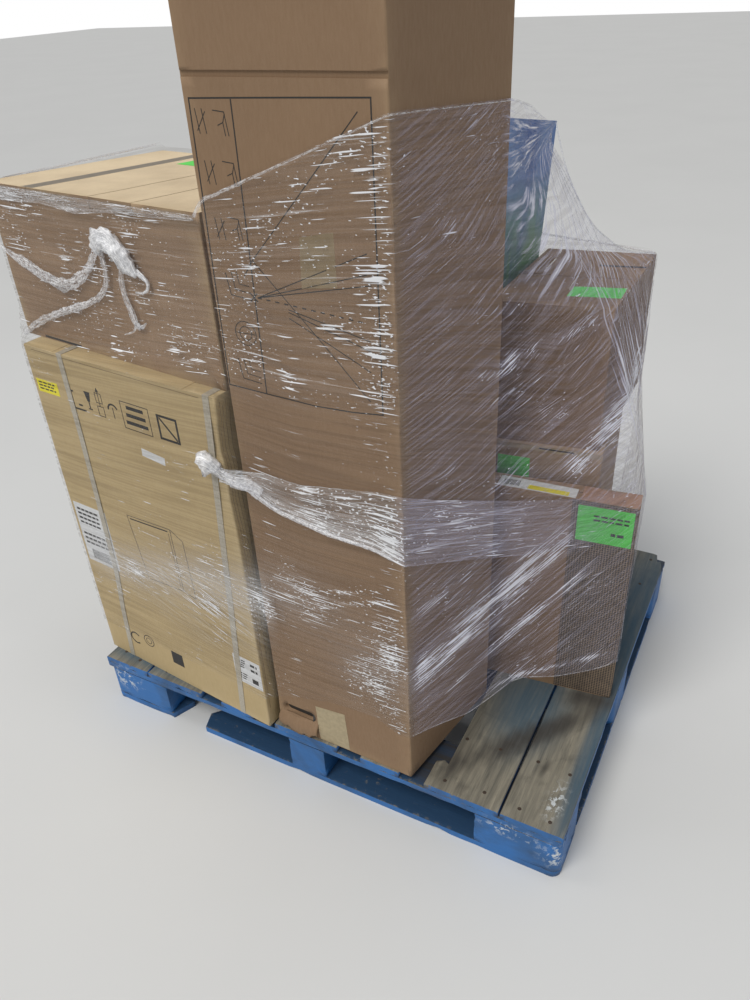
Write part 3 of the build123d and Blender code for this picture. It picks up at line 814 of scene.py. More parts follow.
def grid_print_look():
    """A dark print with a fine tan grid."""
    look = Look("grid_print")
    lines = []
    for axis in "XY":
        measure = look.node("ShaderNodeSeparateXYZ", {"Vector": look.coords("board")}, output=axis)
        step = look.maths("FRACT", look.maths("MULTIPLY", measure, 1 / GRID_PITCH))
        lines.append(look.maths("GREATER_THAN", step, GRID_GAP))
    cover = look.maths("MAXIMUM", *lines)
    cloud = look.noise(look.place, 60.0)
    cover = look.maths("MULTIPLY", cover, look.ramp(cloud, 0.3, 0.6, 0.55, 0.95))
    colour = look.mix(cover, GRID_DARK, GRID_TAN)
    return look.finish(Base_Color=colour, Roughness=0.7)


def heater_artwork():
    """The heater carton's handling signs, outline drawing, marks and labels, and painted shade along its top
    fold and in its side creases.
    """
    place = ("carton_heater", "front")
    signs = stroke([(0.128, 0.911), (0.120, 0.911), (0.120, 0.871), (0.156, 0.871)], 0.004)
    signs += box_shape(0.136, 0.880, 0.148, 0.884)
    signs += [[(0.163, 0.919), (0.181, 0.919), (0.176, 0.897), (0.168, 0.897)]]
    signs += box_shape(0.1705, 0.881, 0.1735, 0.898)
    signs += box_shape(0.166, 0.878, 0.178, 0.881)
    for low in (0.871, 0.901):
        high = low + 0.022
        signs += stroke([(0.197, low), (0.215, low), (0.215, high), (0.197, high)], 0.0016, True)
    signs += stroke([(0.206, 0.893), (0.206, 0.931)], 0.0016)
    signs += [[(0.201, 0.926), (0.211, 0.926), (0.206, 0.936)]]
    signs += stroke(circle_points((0.244, 0.893), 0.014, 180, 7.5, 12), 0.004)
    signs += stroke([(0.244, 0.900), (0.244, 0.875)], 0.0020)
    signs += stroke([(0.271, 0.862), (0.350, 0.862), (0.350, 0.922), (0.271, 0.922)], 0.0016, True)
    for row in range(3):
        signs += box_shape(0.279 + 0.004 * row, 0.873 + 0.017 * row, 0.341 - 0.003 * row, 0.881 + 0.017 * row)
    lay("heater_signs", *place, signs, ink_and_shade)
    crossed = stroke([(0.375, 0.866), (0.425, 0.866), (0.425, 0.916), (0.375, 0.916)], 0.005, True)
    crossed += stroke([(0.379, 0.912), (0.421, 0.870)], 0.004)
    lay("heater_crossed_sign", *place, crossed, ink_and_shade, 0.0001)
    outline = stroke([(0.200, 0.625), (0.335, 0.632), (0.335, 0.462), (0.222, 0.455)], 0.0013, True)
    outline += stroke([(0.335, 0.632), (0.368, 0.612), (0.372, 0.455), (0.335, 0.462)], 0.0013)
    outline += stroke([(0.208, 0.618), (0.326, 0.624)], 0.0030)
    outline += stroke([(0.328, 0.620), (0.328, 0.468)], 0.0011)
    lay("heater_outline", *place, outline, ink_and_shade)
    # Painted shade: a thin dark line under the front top fold, and dark lines in the creases down the crushed
    # right edge
    lay("heater_top_fold_shadow", *place, stroke([(0.022, 0.9830), (0.500, 0.9815)], 0.0013), fold_shade)
    creases = []
    crease_ends = ((0.006, 0.20, 0.98), (0.013, 0.42, 0.97), (0.021, 0.30, 0.98), (0.030, 0.55, 0.96))
    for inset, foot, top in crease_ends:
        creases += stroke([(inset, foot), (inset + 0.001, top)], 0.0012)
    lay("heater_side_crease_shadows", "carton_heater", "right", creases, fold_shade)
    rings = stroke(circle_points((0.108, 0.216), 0.017, 40, 320, 20), 0.0040)
    rings += stroke(circle_points((0.158, 0.228), 0.017), 0.0020, True)
    rings += stroke(circle_points((0.158, 0.228), 0.009), 0.0016, True)
    rings += box_shape(0.236, 0.194, 0.274, 0.234)
    lay("heater_marks", *place, rings, ink_and_shade)
    lay("heater_yellow_label", *place, box_shape(0.010, 0.886, 0.078, 0.916), yellow_paper)
    lay("heater_yellow_lines", *place, text_bars(0.016, 0.890, 0.052, 0.022, 3, 1), ink_and_shade, PRINT_THICK, 0.0001)
    lay("heater_white_label", *place, box_shape(0.009, 0.432, 0.118, 0.602), white_paper)
    lines = text_bars(0.018, 0.540, 0.070, 0.050, 4, 2) + text_bars(0.018, 0.480, 0.085, 0.040, 3, 3)
    lines += bar_code(0.030, 0.442, 0.060, 0.028, 4)
    lay("heater_white_lines", *place, lines, ink_and_shade, PRINT_THICK, 0.0001)
    lay("heater_tag", *place, [[(0.303, 0.806), (0.368, 0.800), (0.370, 0.818), (0.305, 0.824)]], white_paper)
    lay("heater_foot_label", *place, box_shape(0.457, 0.254, 0.537, 0.336), white_paper)
    lines = text_bars(0.464, 0.300, 0.030, 0.028, 4, 5) + text_bars(0.508, 0.296, 0.020, 0.032, 2, 6)
    lines += text_bars(0.464, 0.264, 0.030, 0.022, 3, 7) + box_shape(0.508, 0.266, 0.526, 0.280)
    lay("heater_foot_lines", *place, lines, ink_and_shade, PRINT_THICK, 0.0001)


def tall_artwork():
    """The tall carton's template of fanned lines, the small line signs beside it, the painted shade in its
    hand hole, and its tape.
    """
    place = ("carton_tall", "front")
    frame_line = [(0.010, 1.465), (0.314, 1.471), (0.311, 1.014), (0.255, 1.007), (0.180, 1.003)]
    shapes = stroke([*frame_line, (0.085, 1.006), (0.003, 1.010)], INK_LINE, True)
    shapes += stroke([(0.085, 1.465), (0.081, 1.006)], INK_LINE)
    crossing, root = (0.087, 1.237), (0.088, 1.177)
    shapes += stroke([(0.066, 1.208), crossing, (0.293, 1.454)], THIN_INK)
    shapes += stroke([crossing, (0.289, 1.033)], THIN_INK)
    for end in ((0.296, 1.269), (0.294, 1.238), (0.301, 1.223)):
        shapes += stroke([root, end], THIN_INK)
    shapes += dashes(root, (0.299, 1.163), INK_LINE, 0.008, 0.009)
    for end in ((0.295, 1.135), (0.294, 1.119), (0.293, 1.084)):
        start = Vector(root).lerp(Vector(end), 0.28)
        shapes += stroke([start, end], THIN_INK)
    shapes += stroke([(0.074, 1.184), (0.088, 1.170)], INK_LINE)
    shapes += stroke([(0.074, 1.170), (0.088, 1.184)], INK_LINE)
    lay("tall_template", *place, shapes, ink_and_shade, 0.0, 0.0002)
    signs = []
    for left, low in ((0.018, 1.418), (0.022, 1.347), (0.025, 1.264)):
        for share in (0.0, 0.012):
            signs += stroke([(left + share, low + 0.034), (left + share + 0.004, low)], 0.0013)
        signs += stroke([(left, low + 0.004), (left + 0.018, low + 0.030)], 0.0013)
    for left, low in ((0.050, 1.416), (0.055, 1.347), (0.050, 1.266)):
        signs += stroke([(left, low + 0.034), (left + 0.020, low + 0.032), (left + 0.024, low)], 0.0013)
        joint = (left + 0.016, low + 0.018)
        signs += stroke([(left + 0.006, low + 0.014), joint, (left + 0.018, low)], 0.0013)
        signs += stroke([joint, (left + 0.021, low + 0.030)], 0.0013)
    for low in (1.168, 1.020):
        signs += stroke([(0.030, low + 0.044), (0.036, low + 0.008), (0.074, low + 0.004)], 0.0015)
        signs += stroke([(0.042, low + 0.046), (0.046, low + 0.018), (0.074, low + 0.015)], 0.0013)
        signs += stroke([(0.052, low + 0.048), (0.055, low + 0.028), (0.074, low + 0.026)], 0.0011)
    signs += stroke(circle_points((0.054, 1.112), 0.021), 0.0013, True)
    signs += stroke(circle_points((0.054, 1.112), 0.012), 0.0013, True)
    signs += stroke([(0.033, 1.112), (0.075, 1.112)], 0.0011)
    lay("tall_signs", *place, signs, ink_and_shade, 0.0, 0.0002)
    ghost = [[(0.176, 1.203), (0.241, 1.212), (0.241, 1.294), (0.180, 1.281)]]
    lay("tall_pale_label", *place, ghost, label_ghost, 0.0, 0.0002)
    # Painted shade: the dark inside of the hand hole, laid as a dark shape on the board
    hole = circle_points((0.0885, 0.203), 0.0125, 270, 450, 8)
    hole += circle_points((0.0275, 0.203), 0.0125, 90, 270, 8)
    lay("tall_hand_hole_shadow", *place, [hole], ink_and_shade, bridge=0.0)
    tape = [[(0.110, 0.143), (0.186, 0.143), (0.179, 0.254), (0.103, 0.244)]]
    lay("tall_tape", *place, tape, masking_tape, 0.0003)


def other_artwork():
    """Labels, tape and prints of the flat topped, slim, lower and upper cartons, and painted shadows in the
    slots under flap edges.
    """
    flat = "carton_flat_top"
    # Painted shadow: the dark gap at the foot of the flat topped carton's front
    lay("flat_top_slot_shadow", flat, "front", box_shape(0.060, 0.9920, 0.180, 0.9965), ink_and_shade)
    lay("flat_top_tape", flat, "top", box_shape(0.116, 0.001, 0.150, 0.441), lid_tape)
    lay("flat_top_label", flat, "top", box_shape(0.180, 0.322, 0.285, 0.392), green_paper, PRINT_THICK)
    slim = "carton_slim"
    lay("slim_grid", slim, "front", box_shape(0.216, 0.143, 0.349, 0.679), grid_print_look())
    lay("slim_label", slim, "front", box_shape(0.229, 0.580, 0.343, 0.668), green_paper, PRINT_THICK)
    lines = text_bars(0.262, 0.630, 0.072, 0.020, 2, 8) + text_bars(0.300, 0.596, 0.030, 0.016, 1, 9)
    lay("slim_label_lines", slim, "front", lines, ink_and_shade, 2 * PRINT_THICK, 0.0001)
    lay("slim_pink_strip", slim, "top", box_shape(0.232, 0.001, 0.349, 0.054), pink_print)
    strip = [[(0.054, 0.006), (0.221, 0.002), (0.222, 0.038), (0.056, 0.046)]]
    lay("slim_white_strip", slim, "top", strip, white_paper)
    yellow = [[(0.118, 0.009), (0.205, 0.005), (0.206, 0.021), (0.119, 0.025)]]
    lay("slim_yellow_strip", slim, "top", yellow, yellow_paper, PRINT_THICK, 0.0001)
    lay("slim_bar_code", slim, "top", bar_code(0.066, 0.013, 0.034, 0.022, 3), ink_and_shade, PRINT_THICK, 0.0001)
    lower = "carton_lower"
    lay("lower_flap_edge", lower, "front", box_shape(0.003, 0.737, 0.222, 0.7490), pale_board)
    # Painted shadow in the gap under the lower carton's flap edge
    lay("lower_slot_shadow", lower, "front", box_shape(0.092, 0.7425, 0.166, 0.7455), ink_and_shade, PRINT_THICK)
    lay("lower_label", lower, "front", box_shape(0.004, 0.655, 0.074, 0.716), green_paper)
    upper = "carton_upper"
    lay("upper_seam", upper, "top", box_shape(0.140, 0.262, 0.236, 0.271), ink_and_shade)
    label = [[(0.130, 0.056), (0.232, 0.062), (0.230, 0.124), (0.128, 0.116)]]
    lay("upper_label", upper, "top", label, green_paper)


heater_artwork()
tall_artwork()
other_artwork()


# Pallet timber. Each mark has its middle, its half sizes, and its turn in degrees
PALLET_MARKS = {
    "blue": (
        ((0.435, -0.200, 0.141), (0.150, 0.085, 0.02), 90),
        ((0.600, -0.250, 0.141), (0.330, 0.022, 0.02), 90),
        ((0.585, 0.250, 0.141), (0.300, 0.060, 0.02), 90),
        ((0.450, 0.300, 0.141), (0.250, 0.080, 0.02), 90),
        ((-0.450, -0.470, 0.141), (0.200, 0.030, 0.02), 0),
    ),
    "dark": (
        ((0.450, -0.310, 0.141), (0.210, 0.026, 0.02), 50),
        ((0.560, -0.120, 0.141), (0.060, 0.030, 0.02), 20),
        ((0.382, -0.477, 0.141), (0.010, 0.010, 0.02), 0),
        ((0.520, -0.353, 0.141), (0.009, 0.009, 0.02), 0),
        ((0.470, -0.455, 0.141), (0.006, 0.006, 0.02), 0),
        ((0.505, -0.440, 0.141), (0.005, 0.005, 0.02), 0),
        # Painted shade on the stringer's top under the gap between deck boards
        ((0.315, -0.420, 0.112), (0.060, 0.140, 0.030), 0),
    ),
    "white": (
        ((-0.555, -0.508, 0.085), (0.038, 0.020, 0.036), 0),
        ((0.600, -0.508, 0.070), (0.022, 0.020, 0.040), 0),
        ((0.500, -0.508, 0.095), (0.055, 0.020, 0.016), 0),
        ((0.6095, 0.150, 0.080), (0.020, 0.020, 0.030), 0),
        ((0.570, -0.430, 0.141), (0.040, 0.016, 0.010), 90),
    ),
}


TIMBER_CELLS = (0.012, 0.03, 0.012)
TIMBER_EDGE = 0.006
CHIP_DEPTH = 0.004
ROUGH_DEPTH = 0.0004
FACE_REACH = 0.0006
GAPS_END = 0.55


def mark_strength(points, middle, size, turn):
    """How strong a soft mark is at each point."""
    away = points - np.array(middle)
    along = away[:, 0] * cos(radians(turn)) + away[:, 1] * sin(radians(turn))
    across = away[:, 1] * cos(radians(turn)) - away[:, 0] * sin(radians(turn))
    spread = (along / size[0]) ** 2 + (across / size[1]) ** 2 + (away[:, 2] / size[2]) ** 2
    return np.exp(-(spread**1.6))


def painted_shade_sides(node_name, points, low, high):
    """Where timber is painted dark as shade: a stringer's top behind its front edge, and the deck boards'
    inner sides.
    """
    left, depth, height = points.T
    if node_name.startswith("stringer"):
        return (depth > low[1] + 0.012) & (height > high[2] - 0.002)
    if node_name.startswith("deck_board"):
        on_side = np.minimum(left - low[0], high[0] - left) < 0.002
        return (np.abs(left) < GAPS_END) & on_side & (height < high[2] - 0.004)
    return 0


def worn_timber(node_name, along, material, slot_name, seed):
    """A board or block with chipped edges and a rough top, in place of its plain CAD solid."""
    across, lengthwise = Vector((1, 0, 0)), Vector((0, 1, 0))
    if along == "X":
        across, lengthwise = lengthwise, across
    mesh = sliced_copy(node_name, (across, lengthwise, UPWARD), TIMBER_CELLS)
    points = points_of(mesh)
    low, high = (np.array(corner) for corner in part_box(node_name))
    near = np.minimum(points - low, high - points)
    edge = np.exp(-np.sort(near, axis=1)[:, 1] / TIMBER_EDGE)
    rough = ripple(points, 0.03, seed)
    torn = np.clip(ripple(points, 0.011, seed + 40), 0.15, 1) - 0.15
    inward = np.where(points - low < high - points, 1.0, -1.0) * (near < FACE_REACH)
    points += inward * (CHIP_DEPTH * edge * torn + ROUGH_DEPTH * np.abs(rough))[:, None]
    paint(mesh, "edge", edge)
    paint_faces(mesh, "side", [abs(face.normal.z) < 0.5 for face in mesh.polygons])
    for name, marks in PALLET_MARKS.items():
        strength = np.clip(sum(mark_strength(points, *mark) for mark in marks), 0, 1)
        # Painted shade on hidden sides joins the dark stains
        if name == "dark":
            strength += painted_shade_sides(node_name, points, low, high)
        paint(mesh, name, np.clip(strength, 0, 1))
    mesh.vertices.foreach_set("co", points.ravel())
    mesh.update()
    smooth_but_sharp(mesh, 40)
    piece = link(f"{node_name}_timber", mesh, material)
    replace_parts(piece, node_name)


# The starts of the names of boards and blocks, each with its grain's way, its look and its slot
cross_look = wood_look("painted_cross_wood", "X", 0.34)
side_look = wood_look("painted_side_wood", "Y", 0.34)
timber_plans = {
    "deck_board": ("Y", wood_look("deck_wood", "Y", -0.06), "deck_wood"),
    "base_board_left": ("Y", side_look, "painted_wood"),
    "base_board_right": ("Y", side_look, "painted_wood"),
    "base_board": ("X", cross_look, "painted_wood"),
    "stringer": ("X", cross_look, "painted_wood"),
    "block": ("X", cross_look, "painted_wood"),
}
timber_names = [name for name in sorted(nodes) if name.startswith(tuple(timber_plans))]
for number, node_name in enumerate(timber_names, 1):
    kind = next(start for start in timber_plans if node_name.startswith(start))
    worn_timber(node_name, *timber_plans[kind], number)


# Nail heads, set by geometry nodes in rows over the stringers
NAIL_ROWS = (-0.477, -0.353, 0.020, 0.355, 0.477)
NAIL_COLUMNS = (0.25, 0.72)
NAIL_SIZES = {"Radius": 0.0045, "Top Radius": 0.0036, "Depth": 0.0012, "Out of Line": 0.006, "Seed": 4}
NAIL_SINK = 0.0004


def nail_tree(material):
    """The nodes that set a nail head on every point, each a little out of line."""
    tree = bpy.data.node_groups.new("nail_heads", "GeometryNodeTree")
    tree.interface.new_socket("Points", in_out="INPUT", socket_type="NodeSocketGeometry")
    tree.interface.new_socket("Heads", in_out="OUTPUT", socket_type="NodeSocketGeometry")
    for name in NAIL_SIZES:
        kind = "NodeSocketInt" if name == "Seed" else "NodeSocketFloat"
        tree.interface.new_socket(name, in_out="INPUT", socket_type=kind)
    given = tree.nodes.new("NodeGroupInput").outputs
    aside = {"X": given["Out of Line"], "Y": given["Out of Line"]}
    reach = add_node(tree, "ShaderNodeCombineXYZ", aside)
    back = add_node(tree, "ShaderNodeVectorMath", {0: reach, "Scale": -1.0}, operation="SCALE")
    ends = {0: back, 1: reach, "Seed": given["Seed"]}
    away = add_node(tree, "FunctionNodeRandomValue", ends, data_type="FLOAT_VECTOR")
    points = add_node(tree, "GeometryNodeSetPosition", {"Geometry": given["Points"], "Offset": away})
    radii = {"Radius Bottom": given["Radius"], "Radius Top": given["Top Radius"]}
    head = add_node(tree, "GeometryNodeMeshCone", {**radii, "Depth": given["Depth"], "Vertices": 10})
    heads = add_node(tree, "GeometryNodeInstanceOnPoints", {"Points": points, "Instance": head})
    heads = add_node(tree, "GeometryNodeRealizeInstances", {"Geometry": heads})
    heads = add_node(tree, "GeometryNodeSetMaterial", {"Geometry": heads, "Material": material})
    feed(tree, tree.nodes.new("NodeGroupOutput").inputs["Heads"], heads)
    return tree


def nails():
    """Nail heads through the deck boards, two for each board over each stringer."""
    places = []
    for node_name in sorted(nodes):
        if node_name.startswith("deck_board"):
            low, high = (Vector(corner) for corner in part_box(node_name))
            columns = [low.lerp(high, share).x for share in NAIL_COLUMNS]
            rows = [row for row in NAIL_ROWS if low.y < row < high.y]
            places += [(column, row, high.z - NAIL_SINK) for row in rows for column in columns]
    material = plain_look("rusty_nail", (0.060, 0.040, 0.028), 0.6, 400.0, 0.15)
    points = bpy.data.meshes.new("nail_places")
    points.from_pydata(places, [], [])
    holder = bpy.data.objects.new("nail_places", points)
    show(holder)
    setter = holder.modifiers.new("nail_heads", "NODES")
    setter.node_group = nail_tree(material)
    for item in setter.node_group.interface.items_tree:
        if item.name in NAIL_SIZES:
            setter[item.identifier] = NAIL_SIZES[item.name]
    mesh = bpy.data.meshes.new_from_object(holder.evaluated_get(bpy.context.evaluated_depsgraph_get()))
    bpy.data.objects.remove(holder)
    mesh.name = "nail_heads"
    link("nail_heads", mesh, material)


nails()


FLAP_ROWS = 7
FLAP_COLUMNS = 27
FLAP_THICK = 0.0028


def flap_place(left, share):
    """A place on the torn flap's outer face, from its left end and the share of the way down it."""
    ragged = 0.010 * noise.noise(Vector((left * 55, 3.3, 0)))
    ragged += 0.005 * noise.noise(Vector((left * 190, 1.3, 0)))
    reach = 0.052 + ragged - 0.018 * abs(left - 0.055) / 0.055
    curl = 0.003 + 0.011 * sin(share * pi * 0.62)
    curl += 0.002 * noise.noise(Vector((left * 40, share * 3, 8)))
    return left, -curl, 0.050 - reach * share


def torn_flap():
    """The tall carton's torn bottom flap, a ragged strip of board that sticks out at its left."""
    across = np.linspace(0.004, 0.108, FLAP_COLUMNS)
    outer = np.array([flap_place(left, share) for share in np.linspace(0, 1, FLAP_ROWS) for left in across])
    places = np.concatenate([outer, outer + (0, FLAP_THICK, 0)])
    count = len(outer)
    grid = np.arange(count).reshape(FLAP_ROWS, FLAP_COLUMNS)
    corners = (grid[:-1, :-1], grid[1:, :-1], grid[1:, 1:], grid[:-1, 1:])
    front = np.stack([corner.ravel() for corner in corners], axis=1)
    faces = [*front.tolist(), *(front[:, ::-1] + count).tolist()]
    for side in (grid[:, 0], grid[:, -1], grid[0], grid[-1]):
        for first, second in zip(side[:-1].tolist(), side[1:].tolist()):
            faces.append((first, second, second + count, first + count))
    mesh = bpy.data.meshes.new("tall_torn_flap")
    mesh.from_pydata(built["carton_tall"].world(places).tolist(), [], faces)
    face_outwards(mesh)
    lay_uv(mesh, "board", places[:, [0, 2]])
    mesh.shade_smooth()
    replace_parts(link("tall_torn_flap", mesh, brown_board), "carton_tall")


torn_flap()


# Straps, pulled out of line up the heater carton: heights, and how far right each is pulled there
STRAP_LEANS = {
    "strap_left": ((0.141, -0.024), (0.300, -0.012), (0.420, 0.004), (0.600, 0.010), (0.800, 0.015)),
    "strap_right": ((0.141, -0.012), (0.990, 0.050)),
}
STRAP_LIFT = 0.0009
STRAP_CELLS = (1.0, 1.0, 0.04)


def leaning_strap(node_name, leans, material):
    """A strap in place of its plain CAD solid, shifted along the carton's front to where it was pulled."""
    carton = built["carton_heater"]
    across, back = carton.ways()
    mesh = sliced_copy(node_name, (across, back, UPWARD), STRAP_CELLS)
    points = points_of(mesh)
    points += line_value(leans, points[:, 2])[:, None] * np.array(across)
    points[:, 2] += STRAP_LIFT * (points[:, 2] > carton.head_z - 0.01)
    mesh.vertices.foreach_set("co", points.ravel())
    mesh.update()
    piece = link(f"{node_name}_band", mesh, material)
    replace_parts(piece, node_name)


strap_look = plain_look("strap_plastic", (0.470, 0.425, 0.340), 0.3, 240.0, 0.10)
for node_name, leans in STRAP_LEANS.items():
    leaning_strap(node_name, leans, strap_look)


# Stretch film, laid out by height and by bearing, in degrees round from the front towards the right
FILM_MIDDLE = Vector((-0.03, -0.15, 0.0))
FAR = 3.0
COLUMN_STEP = 0.66
FILM_ROWS = 140
TALL_CORNER = 40
SEAM = 133.2
OVERLAP = 2.0
BACK_END = -107.2
WEB_FIRST = 110.0
WEB_COLUMNS = 44
PROBE_FOOT = 1.0
PROBE_TOP = 1.470
DROP_STEP = 0.001
DROP_KEPT = 0.004
FOOT_LINE = (
    (-230, 0.225), (-92, 0.215), (-62, 0.230), (-30, 0.240), (-9, 0.235), (0, 0.270), (18, 0.300),
    (32, 0.298), (38, 0.268), (46, 0.276), (58, 0.279), (71, 0.331), (82, 0.286), (91, 0.262), (93, 0.262),
    (100, 0.262), (115, 0.250), (134, 0.225),
)
BACK_LINE = ((-226.8, 1.064), (-195, 1.110), (-160, 1.180), (-125, 1.262), (-107.2, 1.290))
WEB_EDGE = (
    (1.064, 133.2), (1.085, 128.5), (1.117, 124.1), (1.164, 121.4), (1.190, 123.0), (1.214, 126.6),
    (1.255, 136.0), (1.328, 145.4),
)
BAND_TOP = (
    (-7, 0.848), (4, 0.857), (16, 0.849), (35, 0.867), (40, 0.868), (49, 0.841), (69, 0.791), (87, 0.744),
)
BAND_FOOT = (
    (-8, 0.813), (-1, 0.811), (7, 0.778), (23, 0.751), (34, 0.742), (40, 0.722), (59, 0.687), (88, 0.624),
)
BAND_END = 92.0

STRIP_FOOT = ((-67, 1.268), (-58, 1.276), (-50, 1.268), (-40, 1.280), (-25, 1.284), (-9, 1.290))
STRIP_TOP = ((-67, 1.2975), (-9, 1.2975))
FAN_SPREAD = 0.28

# Lines of glints on the heater carton's side and the front, by bearing and height
FRONT_LINES = (
    ((10, 0.590), (26, 0.622), (40.5, 0.666)),
    ((10, 0.552), (24, 0.585), (40.5, 0.640)),
)
HAZY_LINE = ((-62, 0.450), (-52, 0.470), (-40, 0.505), (-25, 0.540), (-8, 0.545), (2, 0.530))

# Bundles of bright lines at the right: each one's line, its half width in height, and how dense it is
BUNDLES = (
    (((40, 0.420), (48.9, 0.476), (57.1, 0.528), (65.1, 0.572), (72.4, 0.618), (82, 0.690)), 0.042, 3.1),
    (((80.3, 0.802), (88, 0.831), (94.1, 0.861), (98.8, 0.894), (110.9, 0.925), (116, 0.970)), 0.026, 1.9),
    (((40.5, 0.592), (49, 0.620), (57, 0.666), (64, 0.714)), 0.020, 0.9),
    (((41, 0.345), (52, 0.375), (66, 0.459), (78, 0.521), (88, 0.584)), 0.012, 1.9),
    (((62, 0.328), (71.3, 0.340), (84, 0.318), (94, 0.297)), 0.006, 2.2),
    (((56, 1.020), (64, 1.032), (75, 1.047), (90, 1.046), (102, 1.054)), 0.013, 2.0),
    (((60, 0.965), (66, 0.980), (78, 0.988), (92, 1.004)), 0.005, 1.0),
    (((76, 0.890), (84, 0.912), (93, 0.941)), 0.004, 1.0),
)

# Patches of the film where its haze and painted glints gather: their middles and half sizes, by bearing and
# height
GLINT_CLUSTER = ((33, 0.440), (12, 0.115))
DOTTED_PATCH = ((8, 0.575), (15, 0.080))
HEATER_PATCH = ((-27, 0.430), (18, 0.075))
CORNER_GLINT_DOTS = ((38.5, 1.0), (3.0, 1.6))


def bearing_of(point):
    """The bearing of a place from the load's middle, from -180 to 180."""
    return degrees(atan2(point[0] - FILM_MIDDLE.x, FILM_MIDDLE.y - point[1]))


def bearing_way(bearing):
    """The level direction of a bearing."""
    return Vector((sin(radians(bearing)), -cos(radians(bearing)), 0))


film_tree = BVHTree.FromObject(nodes["stretch_film"], bpy.context.evaluated_depsgraph_get())


def film_hit(bearing, height):
    """Where a level line from outside meets the film at a bearing and a height, or None."""
    way = bearing_way(bearing)
    hit = film_tree.ray_cast(FILM_MIDDLE + way * FAR + Vector((0, 0, height)), -way)[0]
    return hit if hit is not None and (hit - FILM_MIDDLE).dot(way) > 0 else None


def film_point(bearing, height, lift=0.0):
    """A point on the film, or just under its top edge where the film is lower than the height."""
    drop = 0.0
    hit = film_hit(bearing, height)
    while hit is None:
        drop += DROP_STEP
        hit = film_hit(bearing, height - drop)
    return hit + bearing_way(bearing) * lift + UPWARD * min(drop, DROP_KEPT)


def film_points(bearings, heights):
    """The film's points at many bearings and heights."""
    points = np.empty((*bearings.shape, 3))
    for spot in np.ndindex(bearings.shape):
        points[spot] = film_point(bearings[spot], heights[spot])
    return points


def film_limit(bearing):
    """The height of the film's top edge at a bearing."""
    if bearing < BACK_END:
        return float(line_value(BACK_LINE, bearing))
    low, high = PROBE_FOOT, PROBE_TOP
    for _ in range(12):
        middle = (low + high) / 2
        if film_hit(bearing, middle) is None:
            high = middle
        else:
            low = middle
    return low - 0.0005


def film_bearings():
    """Bearings of the film's columns, with one on each carton's corner."""
    bearings = np.arange(SEAM - 360 - OVERLAP, WEB_FIRST, COLUMN_STEP)
    for carton in built.values():
        for corner in carton.foot + carton.head:
            for turned in (bearing_of(corner), bearing_of(corner) - 360):
                nearest = np.argmin(np.abs(bearings - turned))
                if abs(bearings[nearest] - turned) < COLUMN_STEP / 2:
                    bearings[nearest] = turned
    return bearings


def film_layout():
    """The bearing and the height of every point of the film's grid, column by column."""
    shares = np.linspace(0, 1, FILM_ROWS + 1)
    bearing_rows, height_rows = [], []
    for bearing in [*film_bearings(), WEB_FIRST]:
        foot = line_value(FOOT_LINE, bearing)
        bearing_rows.append(np.full(len(shares), bearing))
        height_rows.append(foot + shares * (film_limit(bearing) - foot))
    last_bearings, last_heights = bearing_rows[-1], height_rows[-1]
    edge_foot = line_value(FOOT_LINE, SEAM)
    edge_heights = edge_foot + shares * (WEB_EDGE[-1][0] - edge_foot)
    edge_bearings = line_value(WEB_EDGE, edge_heights)
    for column in range(1, WEB_COLUMNS + 1):
        share = column / WEB_COLUMNS
        bearing_rows.append(last_bearings + share * (edge_bearings - last_bearings))
        height_rows.append(last_heights + share * (edge_heights - last_heights))
    return np.array(bearing_rows), np.array(height_rows)


def near_line(bearings, heights, line, width):
    """How near each place is to a line, 1 on it, and nothing past the line's ends."""
    inside = (bearings > line[0][0]) & (bearings < line[-1][0])
    ends = np.clip(np.minimum(bearings - line[0][0], line[-1][0] - bearings) / 4, 0, 1)
    return np.exp(-(((heights - line_value(line, bearings)) / width) ** 2)) * inside * ends


def soft_spot(bearings, heights, middle, size):
    """A soft round patch, 1 in its middle."""
    return np.exp(-(((bearings - middle[0]) / size[0]) ** 2) - ((heights - middle[1]) / size[1]) ** 2)


def soft_step(value, low, high):
    """A smooth rise from 0 to 1."""
    share = np.clip((value - low) / (high - low), 0, 1)
    return share * share * (3 - 2 * share)


def pull_fields(bearings, heights, lengths):
    """How far each place lies across the two level ways in which the film is pulled."""
    top = np.interp(bearings, (-60, -7, 40, 76, 95, 115), (0, 0.01, 0.060, 0.050, 0.050, 0.03))
    band = np.interp(bearings, (-60, -9, 16, 40, 87, 120), (-0.03, 0, -0.03, -0.035, -0.145, -0.10))
    foot = np.interp(bearings, (-60, 0, 40, 60, 92, 130), (0.05, 0.02, 0.0, 0.02, 0.06, 0.0))
    upper = soft_step(heights, 0.80, 1.42)
    lower = 1 - soft_step(heights, 0.35, 0.80)
    one = heights - upper * top - lower * foot - (1 - upper - lower) * band
    steep = 0.34 + 0.28 * (1 - soft_step(heights, 0.70, 1.0))
    slope = np.where(bearings > 36, steep, np.where(bearings < 6, -0.34, 0.02))
    runs = np.diff(lengths, axis=0, prepend=lengths[:1])
    rise = np.cumsum(slope * runs, axis=0)
    start = np.argmin(np.abs(bearings[:, 0] - TALL_CORNER))
    return one, heights - (rise - rise[start])


def fan_field(heights, lengths):
    """Lengths along and across strands that fan out from the web's top, where a corner holds the film."""
    away = lengths[-1, -1] - lengths
    drop = heights[-1, -1] - heights
    return np.stack([np.hypot(away, drop), np.arctan2(away, drop) * FAN_SPREAD], axis=2)


